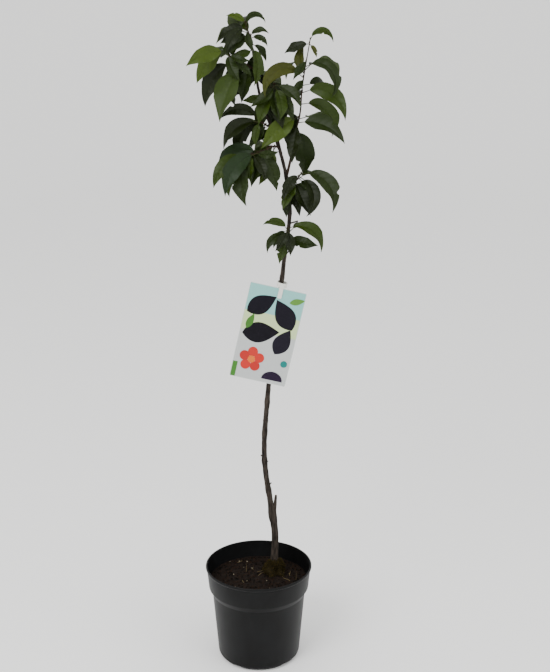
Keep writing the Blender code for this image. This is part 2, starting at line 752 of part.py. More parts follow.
class Crown:
    """Places the leaves of all masses and remembers what is already taken."""

    def __init__(self, limbs: list) -> None:
        self.taken = [tree_of(*limb) for limb in limbs]
        self.stems = {mass.name: stem_way(mass, 9 * len(mass.stem)) for mass in MASSES}
        self.stem_trees = {name: tree_of(*tube(way, 6)) for name, way in self.stems.items()}
        self.screens = []
        self.grown = {mass.name: [] for mass in MASSES}
        self.skipped = 0

    def clear(self, mass: Mass, blade: Blade, root: np.ndarray) -> bool:
        """Tell whether a leaf stays clear of limbs, other stems and the leaves placed before."""
        reach = np.linalg.norm(blade.base - root)
        free = tree_of(*blade.skin(root, min(0.6, 0.0035 / max(reach, 1e-6)), CLEARANCE))
        if any(free.overlap(other) for other in self.taken):
            return False
        for name, tree in self.stem_trees.items():
            if name != mass.name and free.overlap(tree):
                return False
        bare = tree_of(*blade.skin(root, 0.9, CLEARANCE))
        return not bare.overlap(self.stem_trees[mass.name])

    def take(self, mass: Mass, blade: Blade, root: np.ndarray) -> None:
        """Keep a leaf and block its place."""
        self.grown[mass.name].append((blade, root))
        reach = np.linalg.norm(blade.base - root)
        start = min(0.6, 0.0035 / max(reach, 1e-6))
        self.taken.append(tree_of(*blade.skin(root, start, CLEARANCE)))

    def place_sprays(self, mass: Mass, draw: random.Random) -> None:
        """Hang a mass's sprays, each leaf drawn again, more loosely, until it finds room."""
        order = 0
        for spray in mass.sprays:
            for k in range(spray.count):
                order += 1
                for attempt in range(SPRAY_TRIES):
                    front = (order + attempt) % 3 != 0
                    blade, root = spray_blade(self.stems[mass.name], spray, k, front,
                                              attempt / SPRAY_TRIES, draw)
                    if self.clear(mass, blade, root):
                        self.take(mass, blade, root)
                        self.screens.append(tree_of(*blade.skin(root)))
                        break
                else:
                    self.skipped += 1

    def hidden(self, blade: Blade) -> float:
        """Give the share of a blade that front leaves hide from straight in front."""
        spots = blade.samples()
        count = 0
        for spot in spots:
            towards = Vector(unit(FRONT_POINT - spot))
            start = Vector(spot) + towards * 0.002
            if any(screen.ray_cast(start, towards)[0] is not None for screen in self.screens):
                count += 1
        return count / len(spots)

    def place_behind(self, mass: Mass, draw: random.Random) -> None:
        """Grow the rest of a mass by the seeded rule, skipping what finds no room."""
        way = self.stems[mass.name]
        for order in range(mass.behind):
            for _ in range(RULE_TRIES):
                share = (order + draw.uniform(0.2, 1.0)) / mass.behind
                root = way[min(len(way) - 1, 5 + int(share * (len(way) - 6))), :3]
                blade = rule_blade(root, draw, order)
                if self.hidden(blade) < HIDDEN_SHARE:
                    continue
                if self.clear(mass, blade, root):
                    self.take(mass, blade, root)
                    break
            else:
                self.skipped += 1


def make_masses(crown: Crown, material) -> list:
    """Fuse every mass's leaves onto its stem and cut the stem clear of the trunk."""
    made = []
    for mass in MASSES:
        sides = 6
        stem = build(mass.name, *tube(stem_way(mass, 2 * len(mass.stem) + 3), sides), material)
        leaves = [build("leaf", *blade.skin(root), material)
                  for blade, root in crown.grown[mass.name]]
        combine(stem, leaves, "UNION")
        if mass.name not in ("top_foliage", "right_shoot_foliage"):
            combine(stem, [trunk_sleeve(material)], "DIFFERENCE")
        keep_largest(stem)
        made.append(stem)
    return made


def main() -> None:
    """Build the pot, the tree and the card."""
    clear_scene()
    pot_black = finish("pot_black", (0.012, 0.012, 0.014), 0.45)
    compost_brown = finish("compost_brown", (0.020, 0.012, 0.008), 0.95)
    moss_olive = finish("moss_olive", (0.060, 0.040, 0.012), 0.95)
    bark_grey = finish("bark_grey", (0.055, 0.045, 0.040), 0.80)
    shoot_bark = finish("shoot_bark", (0.070, 0.045, 0.035), 0.70)
    leaf_green = finish("leaf_green", (0.045, 0.090, 0.018), 0.50)
    card_print = finish("card_print", (0.55, 0.60, 0.58), 0.30)
    strap_white = finish("strap_white", (0.80, 0.80, 0.78), 0.40)

    pieces = [
        make_pot(pot_black), make_compost(compost_brown), make_moss(moss_olive),
        make_trunk(bark_grey), make_bough(shoot_bark), make_card(card_print),
        make_strap(strap_white),
    ]

    limbs = [tube(trunk_way(FIT_GAP * 2), TRUNK_SIDES),
             tube(bough_way() + np.array((0, 0, 0, FIT_GAP * 2)), 8)]
    crown = Crown(limbs)
    draw = random.Random(SEED)
    for mass in MASSES:
        crown.place_sprays(mass, draw)
    for mass in MASSES:
        crown.place_behind(mass, draw)
    pieces += make_masses(crown, leaf_green)
    plant = bpy.data.objects.new("potted_plum_tree", None)
    bpy.context.scene.collection.objects.link(plant)
    for piece in pieces:
        piece.parent = plant
    count = sum(len(leaves) for leaves in crown.grown.values())
    print("leaves grown:", count, "left out for want of room:", crown.skipped)


main()
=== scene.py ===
"""The looks of a young grafted plum tree in a black nursery pot, with a picture card.

The crown grows again by the rule of the part's source and is then carried to finer leaves,
stalks and buds. Lengths are metres, or millimetres where a comment or a docstring says so.
"""

import logging
import math
import random
from collections.abc import Callable, Sequence
from dataclasses import dataclass
from enum import Enum

import bmesh
import bpy
import numpy as np
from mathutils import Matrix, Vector, noise
from mathutils.bvhtree import BVHTree


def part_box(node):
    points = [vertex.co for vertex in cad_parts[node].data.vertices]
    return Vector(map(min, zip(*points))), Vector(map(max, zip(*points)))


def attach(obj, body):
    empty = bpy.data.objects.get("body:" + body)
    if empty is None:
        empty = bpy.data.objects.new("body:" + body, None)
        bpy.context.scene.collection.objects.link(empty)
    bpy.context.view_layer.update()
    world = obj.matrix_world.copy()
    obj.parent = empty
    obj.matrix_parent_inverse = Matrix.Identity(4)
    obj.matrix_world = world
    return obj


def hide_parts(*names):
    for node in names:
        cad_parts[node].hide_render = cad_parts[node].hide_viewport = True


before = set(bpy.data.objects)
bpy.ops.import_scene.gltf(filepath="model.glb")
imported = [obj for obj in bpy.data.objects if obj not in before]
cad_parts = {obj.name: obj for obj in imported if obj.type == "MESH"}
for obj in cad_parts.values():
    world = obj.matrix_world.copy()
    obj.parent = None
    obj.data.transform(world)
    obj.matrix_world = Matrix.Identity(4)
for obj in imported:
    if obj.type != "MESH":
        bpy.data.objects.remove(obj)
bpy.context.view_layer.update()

LOG = logging.getLogger("plum_tree")
MM = 0.001
SEED = 41

# What a skin is: its points, and its faces as rows of point numbers.
Skin = tuple[list, list]

# Sizes that follow the frame.
POT_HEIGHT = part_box("pot")[1].z
POT_RIM_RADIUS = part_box("pot")[1].y
COMPOST_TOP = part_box("compost")[1].z
MOSS_LOW, MOSS_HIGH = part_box("moss_mound")

# Nursery pot.
POT_COLLAR_FOOT_RADIUS = 0.0992
POT_COLLAR_FOOT = 0.150
POT_BODY_TOP = 0.135
POT_BODY_RADIUS = 0.0920
POT_HEEL = 0.011
POT_HEEL_RADIUS = 0.0816
POT_SOLE_RADIUS = 0.0700
POT_WALL = 0.0020
POT_FLOOR = 0.0030
POT_STEPS = 144
NOTCHES = 5
NOTCH_WIDTH = 0.026
NOTCH_HEIGHT = 0.0070
NOTCH_SHOULDER = 0.0025
NOTCH_BELOW = 0.004
NOTCH_ARC_POINTS = 9
NOTCH_INNER = 0.0600
NOTCH_FIRST_BEARING = -121.0

# The gap between solids that fit together, as in the part's source.
FIT_GAP = 0.0003

# Trunk, in millimetres, as in the part's source. Bends are the place across and the height.
TRUNK_BENDS = (
    (30, 164.6), (32, 250), (24, 306), (12, 400), (18, 530), (34, 680), (48, 790), (59, 915),
    (40, 1010), (6, 1100), (-6, 1171),
)
TRUNK_DEPTH = 30
TRUNK_BOW = 5.0
TRUNK_TIP_RADIUS = 2.0
TRUNK_TAPER = 3.9
TRUNK_TAPER_POWER = 0.75
ROOTSTOCK_EXTRA = 1.2
ROOTSTOCK_ABOVE_GRAFT = 6
ROOTSTOCK_FADE = 8
GRAFT_HEIGHT = 284
GRAFT_SWELL = 2.2
GRAFT_SPREAD = 14
ROOT_FLARE = 6.4
ROOT_FLARE_RISE = 12
JOINT_FIRST = 336
JOINT_STEP = 62
JOINT_SWELL = 0.8
JOINT_SPREAD = 8
TRUNK_RINGS = 52
TRUNK_SIDES = 10
# Cut stubs: height, heading in degrees, length, foot radius and tip radius.
TRUNK_STUBS = (
    (274, 84, 52, 5.6, 2.4), (345, 45, 10, 2.2, 1.2), (392, 45, 9, 2.0, 1.1),
    (404, 135, 10, 2.0, 1.1), (813, 45, 11, 1.7, 1.1), (872, 15, 17, 1.6, 1.3),
)
BOUGH_HEIGHT = 957
# Bends told from the bough's foot.
BOUGH_BENDS = ((0, 0, 0), (5, 0, 20), (10, 0, 44), (13, 0, 72))
BOUGH_FOOT_RADIUS = 2.7
BOUGH_TIP_RADIUS = 1.9
BOUGH_RINGS = 9
BOUGH_SIDES = 8
END_GAP = 0.6

# Picture card and strap.
CARD_WIDTH = 0.108
CARD_HEIGHT = 0.187
CARD_THICKNESS = 0.0010
CARD_CORNER = 0.0030
CARD_TILT = 12.8
CARD_CENTRE = (0.0190, 0.0080, 0.6640)
STRAP_WIDTH = 0.0080
STRAP_THICKNESS = 0.0009
STRAP_HALF_SPAN = 0.0085
STRAP_TAB = 0.0200

# Stems and leaves, as in the part's source. The stems' radii are millimetres.
STEM_FOOT_RADIUS = 1.85
STEM_TIP_RADIUS = 0.9
STEM_RINGS = 9
STEM_SIDES = 6
LEAF_THICKNESS = 0.0013
WIDTH_MOST = 0.47
WIDTH_LOSS = 0.0014
LEAF_FOLD = 16.0
BLADE_STATIONS = (0.14, 0.36, 0.60, 0.82)
BLADE_SHARES = (0.0, *BLADE_STATIONS, 1.0)
WIDEST = 0.42
CLEARANCE = 0.0006
SPRAY_TRIES = 40
RULE_TRIES = 160
HIDDEN_SHARE = 0.84
FRONT_POINT = np.array((0.03, -2.0, 1.2))
SIGHT_START = 0.002
SAMPLE_SHARE = 0.8

# Stalks: radius and length, the reach of their bend, how their coarse skin swells towards the
# blade, and how much of the foot is left out where a leaf is tested against other things and,
# last, against its own stem.
STALK_RADIUS = 0.00075
STALK_SHARE = 0.17
STALK_KNEE = 0.012
STALK_SWELLS = (1.15, 1.3)
STALK_IN_STEM = 0.0035
STALK_IN_STEM_MOST = 0.6
STALK_END_SHARE = 0.9

# Sprays: the step from leaf to leaf along the stem, and the ranges that a leaf is drawn from, in
# degrees or shares.
SPRAY_STEP = 0.09
SPRAY_LOWEST = 0.12
SPRAY_TURN = 10
SPRAY_LEANS = (6, 24)
SPRAY_ROLLS = (4, 38)
SPRAY_SIZES = (0.95, 1.05)
SPRAY_DEPTHS = (0.2, 0.9)
SPRAY_BEND_POWER = 0.85

# Leaves by the seeded rule: ranges in degrees, millimetres and shares.
RULE_TURN = 144.0
RULE_SPREAD = 50
RULE_FRONT = -0.2
RULE_RISES = (5, 45)
RULE_DROOPS = (-88, -35)
RULE_ROLLS = (-25, 25)
RULE_LENGTHS = (62, 92)
RULE_WIDTHS = (0.36, 0.44)
RULE_STALKS = (9, 20)
RULE_DROOP_POWER = 0.8
RULE_PLACES = (0.2, 1.0)
RULE_FIRST_RING = 5

# Leaves that only this file adds, close to the trunk: how many, how long in millimetres, where on
# the stem, how they head and bend in degrees, and how far out they may end.
INNER_LEAVES = {
    "top_foliage": 4, "upper_left_foliage": 8, "upper_right_foliage": 9, "middle_left_foliage": 5,
    "middle_foliage": 10, "right_shoot_foliage": 5, "right_spur_foliage": 6, "low_spur_foliage": 2,
}
INNER_LENGTHS = (36, 66)
INNER_PLACES = (0.15, 1.0)
INNER_HEADINGS = (190, 350)
INNER_BENDS = (-55, 55)
INNER_REACH = 0.070

# Fine leaves: the mesh, then teeth, bites, veins, tip, fold and waves. A place or spread along the
# leaf is a share of its length, one across it a share of its half width, the veins' spread a
# share of their step, and the fold's spread is degrees.
FINE_ALONG = 72
FINE_ACROSS = 12
FINE_THICKNESS = 0.0004
LEAST_REACH = 0.0005
TEETH = 24
TOOTH = 0.045
TOOTH_LEVEL = 0.3
TOOTH_EDGE_POWER = 8
BITE_CHANCE = 0.35
BITE_PLACES = (0.3, 0.8)
BITE_DEPTHS = (0.25, 0.55)
BITE_SPREAD = 0.035
VEINS = 8
VEIN_DEPTH = 0.00045
VEIN_SLANT = 0.9
VEIN_SPREAD = 0.15
VEIN_FADE = 0.6
MIDRIB_DEPTH = 1.3
MIDRIB_SPREAD = 0.10
RIB_HEIGHT = 0.0005
RIB_SPREAD = 0.12
RELIEF_FULL_FROM = 0.25
RELIEF_BELOW = 0.8
TIP_START = 0.60
TIP_NARROWING = 0.42
TIP_CURL = 0.055
TIP_CURL_SHARES = (0.2, 1.0)
FOLD_SPREAD = (-6, 8)
FOLD_POWER = 1.25
WAVE_HEIGHT = 0.19
WAVE_COUNTS = (1.2, 2.2)
WAVE_SHIFT = 1.3

# Buds at the stalks' feet: rise above the root, nominal length, radius and outline.
BUD_RISE = 0.0010
BUD_LENGTH = 0.004
BUD_RADIUS = 0.0011
BUD_SHAPE = ((0.0, 0.7), (0.35, 1.0), (0.7, 0.7), (1.0, 0.15))

# Dry stems that stand in the compost: place and height.
UPRIGHT_STRAWS = ((-0.0255, 0.024, 0.023), (0.0742, -0.012, 0.025), (-0.012, 0.030, 0.012))

# Shading: the angle in degrees from which an edge stays sharp, where the two colours of a
# mottling stand on its ramp, and how fine its noise goes.
SHARP_ANGLE = 42
RAMP_STOPS = (0.35, 0.68)
GRAIN_DETAIL = 5.0


class Tone(Enum):
    """The greens that are dealt out to the leaves, by spray; one of them is painted shade with a
    bluish sheen.
    """

    DARK = "#131a04"
    DEEP = "#1b2607"
    MID = "#27350a"
    LIGHT = "#36450f"
    YOUNG = "#34380e"
    # Painted shade with a bluish sheen, for leaves that sit deep in the middle mass.
    PAINTED_SHADE_SHEEN = "#182710"

    def finish(self) -> "Finish":
        """Give a leaf's upper face in this tone: silky, with a fine grain."""
        return Finish("leaf_" + self.name.lower(), self.value, 0.44, grain_mm=1.4, bump_mm=0.05)


@dataclass(frozen=True)
class Finish:
    """One material: what it is, its colours, how rough it is and the size of its mottling."""

    name: str
    colour: str
    roughness: float
    second: str = ""
    grain_mm: float = 0.0
    stretch: float = 1.0
    bump_mm: float = 0.0
    gloss: float = 0.14

    def make(self) -> bpy.types.Material:
        """Make the material, or give the one made before.

        Returns:
            The Blender material.
        """
        if self.name in bpy.data.materials:
            return bpy.data.materials[self.name]
        material = bpy.data.materials.new(self.name)
        material.use_nodes = True
        tree = material.node_tree
        shader = tree.nodes["Principled BSDF"]
        shader.inputs["Base Color"].default_value = linear(self.colour)
        shader.inputs["Roughness"].default_value = self.roughness
        shader.inputs["Specular IOR Level"].default_value = self.gloss
        if self.grain_mm:
            place = add_node(tree, "ShaderNodeTexCoord")
            turn = add_node(tree, "ShaderNodeMapping", {"Scale": (1.0, 1.0, 1.0 / self.stretch)},
                            {"Vector": place.outputs["Object"]})
            grain = add_node(tree, "ShaderNodeTexNoise",
                             {"Scale": 1.0 / (self.grain_mm * MM), "Detail": GRAIN_DETAIL},
                             {"Vector": turn.outputs[0]})
            if self.second:
                ramp = add_node(tree, "ShaderNodeValToRGB", {}, {"Fac": grain.outputs[0]})
                colours = (self.colour, self.second)
                for stop, share, colour in zip(ramp.color_ramp.elements, RAMP_STOPS, colours):
                    stop.position = share
                    stop.color = linear(colour)
                tree.links.new(ramp.outputs[0], shader.inputs["Base Color"])
            if self.bump_mm:
                bump = add_node(tree, "ShaderNodeBump", {"Distance": self.bump_mm * MM},
                                {"Height": grain.outputs[0]})
                tree.links.new(bump.outputs[0], shader.inputs["Normal"])
        return material


def linear(code: str) -> tuple[float, float, float, float]:
    """Turn an sRGB hex colour into linear light.

    Args:
        code: The colour as "#rrggbb".

    Returns:
        Red, green, blue and an alpha of one.
    """
    shares = [int(code[k:k + 2], 16) / 255 for k in (1, 3, 5)]
    red, green, blue = [s / 12.92 if s <= 0.04045 else ((s + 0.055) / 1.055) ** 2.4
                        for s in shares]
    return red, green, blue, 1.0


def add_node(tree: bpy.types.NodeTree, kind: str, settings: dict | None = None,
             links: dict | None = None) -> bpy.types.Node:
    """Add a shader node with its settings and links.

    Args:
        tree: The node tree.
        kind: The node's type.
        settings: Values by the name of the input they set.
        links: Output sockets by the name of the input they feed.

    Returns:
        The new node.
    """
    node = tree.nodes.new(kind)
    for name, value in (settings or {}).items():
        node.inputs[name].default_value = value
    for name, socket in (links or {}).items():
        tree.links.new(socket, node.inputs[name])
    return node


# Blow-moulded polythene: near black, a little dusty.
POT_BLACK = Finish("pot_polythene", "#060606", 0.46, "#0d0e0f", 55.0, 1.0, 0.12)
# Moist compost: dark and dull, with crumbs darker and lighter than the ground and a few pale bits.
COMPOST_DARK = Finish("compost_dark", "#0e0906", 0.97, "#1d130c", 6.0, 1.0, 0.6)
CRUMB_DARK = Finish("crumb_dark", "#0b0704", 0.97)
CRUMB_BROWN = Finish("crumb_brown", "#24170d", 0.95)
CRUMB_PALE = Finish("crumb_pale", "#7d7462", 0.90)
# Dry grass stalks: dull straw colour.
STRAW = Finish("straw", "#64583c", 0.80)
# Moss that has browned: soft and mottled, with yellower tips.
MOSS_OLIVE = Finish("moss_olive_brown", "#171407", 0.95, "#2b220c", 3.0, 1.0, 0.5)
MOSS_TIP = Finish("moss_tip", "#3c3312", 0.92)
# Grey-brown bark, mottled lengthwise, and smoother brown bark on the shoots.
BARK = Finish("bark_grey_brown", "#16120f", 0.85, "#3b342e", 4.0, 5.0, 0.35)
SHOOT = Finish("shoot_bark_brown", "#1c130e", 0.70, "#34261b", 3.0, 4.0, 0.15)
# Old cuts: dry wood, a little paler than the bark.
CUT_WOOD = Finish("cut_wood", "#4b3d2d", 0.80)
# Green stalks and brown buds, both without mottling at this size.
STALK_GREEN = Finish("stalk_green", "#28290f", 0.60)
BUD_BROWN = Finish("bud_brown", "#24160d", 0.65)
# The underside of a leaf: paler and duller than the top.
LEAF_UNDER = Finish("leaf_underside", "#3f4a2b", 0.62)
# Coated board and moulded plastic: off-white with a slight sheen.
CARD_WHITE = Finish("card_board", "#c3c8c5", 0.45)
STRAP_WHITE = Finish("strap_plastic", "#cfcfc9", 0.42)


def unit(vector: np.ndarray) -> np.ndarray:
    """Scale a vector to length one."""
    return vector / np.linalg.norm(vector)


def link(name: str, data: bpy.types.ID) -> bpy.types.Object:
    """Make an object of new data and put it in the scene.

    Args:
        name: The object's name.
        data: Its mesh, lamp or camera.

    Returns:
        The new object.
    """
    thing = bpy.data.objects.new(name, data)
    bpy.context.scene.collection.objects.link(thing)
    return thing


def face_out(mesh: bpy.types.Mesh) -> None:
    """Turn a mesh's faces outward.

    Args:
        mesh: The mesh to turn.
    """
    work = bmesh.new()
    work.from_mesh(mesh)
    bmesh.ops.recalc_face_normals(work, faces=work.faces)
    work.to_mesh(mesh)
    work.free()


def make_object(name: str, points: Sequence | np.ndarray, faces: list, finishes: list[Finish],
                indices: list | None = None, smooth: bool = True) -> bpy.types.Object:
    """Make a mesh object with its faces turned outward.

    Args:
        name: The piece's name.
        points: Its vertices.
        faces: Its faces as vertex indices.
        finishes: Its finishes, one for each material slot.
        indices: The slot of each face.
        smooth: Whether it is shaded smooth up to its sharp edges.

    Returns:
        The new object.
    """
    mesh = bpy.data.meshes.new(name)
    mesh.from_pydata(np.asarray(points, float).tolist(), [], faces)
    for finish in finishes:
        mesh.materials.append(finish.make())
    if indices is not None:
        mesh.polygons.foreach_set("material_index", np.asarray(indices, np.int32))
    face_out(mesh)
    if smooth:
        mesh.shade_smooth()
        mesh.set_sharp_from_angle(angle=math.radians(SHARP_ANGLE))
    return link(name, mesh)


def settle(thing: bpy.types.Object, slot: str, *nodes: str) -> bpy.types.Object:
    """Fix a finished piece to the frame.

    Args:
        thing: The piece.
        slot: The record's material slot. Not used.
        nodes: The CAD nodes it stands for.

    Returns:
        The piece.
    """
    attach(thing, "root")
    if nodes:
        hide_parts(*nodes)
    LOG.info("%s: %d faces", thing.name, len(thing.data.polygons))
    return thing


def apply_modifier(thing: bpy.types.Object, name: str) -> None:
    """Apply one modifier of an object.

    Args:
        thing: The object.
        name: The modifier's name.
    """
    bpy.ops.object.select_all(action="DESELECT")
    thing.select_set(True)
    bpy.context.view_layer.objects.active = thing
    bpy.ops.object.modifier_apply(modifier=name)


class Heap:
    """Gathers many small shapes into one mesh."""

    def __init__(self) -> None:
        """Start empty."""
        self.points: list = []
        self.faces: list = []
        self.indices: list = []

    def add(self, points: Sequence | np.ndarray, faces: list, index: int | list[int] = 0) -> None:
        """Add a shape.

        Args:
            points: Its vertices.
            faces: Its faces as rows of its own point numbers.
            index: The material slot of all its faces, or a list with the slot of each.
        """
        start = len(self.points)
        self.points.extend(np.asarray(points, float).tolist())
        self.faces.extend([tuple(start + k for k in face) for face in faces])
        self.indices.extend(index if isinstance(index, list) else [index] * len(faces))

    def make(self, name: str, finishes: list[Finish], smooth: bool = True) -> bpy.types.Object:
        """Make the mesh object."""
        return make_object(name, self.points, self.faces, finishes, self.indices, smooth)


def hermite(t: float | np.ndarray, span: float | np.ndarray, keys: np.ndarray,
            slopes: np.ndarray, index: int | np.ndarray) -> np.ndarray:
    """Run a smooth curve from a key to the next.

    Args:
        t: How far along the stretch, from 0 to 1.
        span: The stretch's length.
        keys: All keys of the curve, as rows.
        slopes: The curve's change for each unit of length, at each key.
        index: The key where the stretch starts.

    Returns:
        The row at t.
    """
    return ((2 * t**3 - 3 * t**2 + 1) * keys[index]
            + (t**3 - 2 * t**2 + t) * span * slopes[index]
            + (3 * t**2 - 2 * t**3) * keys[index + 1]
            + (t**3 - t**2) * span * slopes[index + 1])


def smooth_way(stations: Sequence, count: int) -> np.ndarray:
    """Run a smooth curve through key stations in millimetres.

    Args:
        stations: Rows of x, y, z and radius.
        count: How many rows to give.

    Returns:
        Rows of x, y, z and radius, in metres.
    """
    keys = np.array(stations, float) * MM
    steps = np.linalg.norm(np.diff(keys[:, :3], axis=0), axis=1)
    reach = np.concatenate(([0.0], np.cumsum(steps)))
    slopes = np.gradient(keys, reach, axis=0)
    way = []
    for spot in np.linspace(0.0, reach[-1], count):
        index = min(int(np.searchsorted(reach, spot, side="right")) - 1, len(keys) - 2)
        span = reach[index + 1] - reach[index]
        way.append(hermite((spot - reach[index]) / span, span, keys, slopes, index))
    return np.array(way)


def loft(rings: Sequence) -> Skin:
    """Join rings of equal count into a closed skin with flat ends.

    Args:
        rings: The rings in order, each a row of points.

    Returns:
        Points and faces.
    """
    size = len(rings[0])
    points = [point for ring in rings for point in ring]
    faces = [tuple(range(size))[::-1]]
    for row in range(len(rings) - 1):
        for k in range(size):
            here = row * size + k
            beside = row * size + (k + 1) % size
            faces.append((here, beside, beside + size, here + size))
    faces.append(tuple(range((len(rings) - 1) * size, len(rings) * size)))
    return points, faces


def turns(count: int) -> list[float]:
    """Share a full turn into equal angles, in radians."""
    return [2 * math.pi * k / count for k in range(count)]


def circle(radius: float, height: float, count: int) -> list[tuple[float, float, float]]:
    """Give a level ring of points round the pot's axis."""
    return [(radius * math.cos(a), radius * math.sin(a), height) for a in turns(count)]


def level_axes(bearing: float) -> tuple[np.ndarray, np.ndarray]:
    """Give the level directions along a bearing in radians and across it."""
    cos, sin = math.cos(bearing), math.sin(bearing)
    return np.array((cos, sin, 0.0)), np.array((-sin, cos, 0.0))


def tube(way: np.ndarray, sides: int,
         relief: Callable[[float, np.ndarray], float] | None = None) -> Skin:
    """Skin a tapering limb along a way.

    Args:
        way: Rows of x, y, z and radius.
        sides: Points round each ring.
        relief: Gives extra radius from a turn in radians and a point.

    Returns:
        Points and faces.
    """
    middles = way[:, :3]
    heads = np.gradient(middles, axis=0)
    side = unit(np.cross(heads[0], (0.0, 1.0, 0.0)))
    rings = []
    for middle, head, radius in zip(middles, heads, way[:, 3]):
        head = unit(head)
        side = unit(side - head * side.dot(head))
        up = np.cross(head, side)
        ring = []
        for a in turns(sides):
            out = math.cos(a) * side + math.sin(a) * up
            swell = relief(a, middle + out * radius) if relief else 0.0
            ring.append(middle + (radius + swell) * out)
        rings.append(ring)
    return loft(rings)


def trunk_radius(height: float) -> float:
    """Give the trunk's radius: taper, rootstock, graft, root flare and joints.

    Args:
        height: The height in millimetres.

    Returns:
        The radius in millimetres.
    """
    low, high = TRUNK_BENDS[0][1], TRUNK_BENDS[-1][1]
    climb = min(1.0, (height - low) / (high - low))
    radius = TRUNK_TIP_RADIUS + TRUNK_TAPER * (1.0 - climb) ** TRUNK_TAPER_POWER
    above = height - GRAFT_HEIGHT - ROOTSTOCK_ABOVE_GRAFT
    radius += ROOTSTOCK_EXTRA / (1.0 + math.exp(above / ROOTSTOCK_FADE))
    radius += GRAFT_SWELL * math.exp(-((height - GRAFT_HEIGHT) / GRAFT_SPREAD) ** 2)
    radius += ROOT_FLARE * math.exp((low - height) / ROOT_FLARE_RISE)
    joint = (height - JOINT_FIRST) / JOINT_STEP
    if joint > -0.5:
        away = (joint - round(joint)) * JOINT_STEP
        radius += JOINT_SWELL * math.exp(-(away / JOINT_SPREAD) ** 2)
    return radius


def trunk_way(extra: float = 0.0, rings: int = TRUNK_RINGS) -> np.ndarray:
    """Give the trunk's way.

    Args:
        extra: Added to the radius, in metres.
        rings: How many rows to give.

    Returns:
        Rows of x, y, z and radius, in metres.
    """
    bends = [(x, TRUNK_DEPTH, z, 0.0) for x, z in TRUNK_BENDS]
    way = smooth_way(bends, rings)
    for row in way:
        climb = (row[2] - way[0, 2]) / (BOUGH_HEIGHT * MM - way[0, 2])
        row[1] += TRUNK_BOW * MM * math.sin(math.tau * min(1.0, climb))
        row[3] = trunk_radius(min(row[2] / MM, TRUNK_BENDS[-1][1])) * MM + extra
    return way


def trunk_at(height: float) -> np.ndarray:
    """Give the middle of the trunk at a height; all in millimetres."""
    way = trunk_way() / MM
    return np.array((np.interp(height, way[:, 2], way[:, 0]),
                     np.interp(height, way[:, 2], way[:, 1]), height))


def limb(foot: np.ndarray, bends: Sequence, first: float, last: float, count: int) -> np.ndarray:
    """Run a limb from its foot through its bends, its radius tapering evenly.

    Args:
        foot: Where it starts, in millimetres.
        bends: Its bends, told from the foot in millimetres.
        first: The radius at the foot, in millimetres.
        last: The radius at the tip, in millimetres.
        count: How many rows to give.

    Returns:
        Rows of x, y, z and radius, in metres.
    """
    radii = np.linspace(first, last, len(bends))
    stations = [(*(foot + bend), radius) for bend, radius in zip(np.array(bends, float), radii)]
    return smooth_way(stations, count)


def bough_way(count: int = BOUGH_RINGS) -> np.ndarray:
    """Give the side bough's way from inside the trunk to its tip."""
    return limb(trunk_at(BOUGH_HEIGHT), BOUGH_BENDS, BOUGH_FOOT_RADIUS, BOUGH_TIP_RADIUS, count)


@dataclass(frozen=True)
class Spray:
    """Leaves that leave the stem close together; angles in degrees, length in millimetres."""

    share: float
    heading: float
    bend: float
    length: float
    count: int = 1
    fan: float = 0.0
    tone: Tone | None = None


@dataclass(frozen=True)
class Mass:
    """One mass of foliage: its foot's height, its stem's bends from there and its sprays."""

    name: str
    foot: float
    stem: tuple
    sprays: tuple
    behind: int


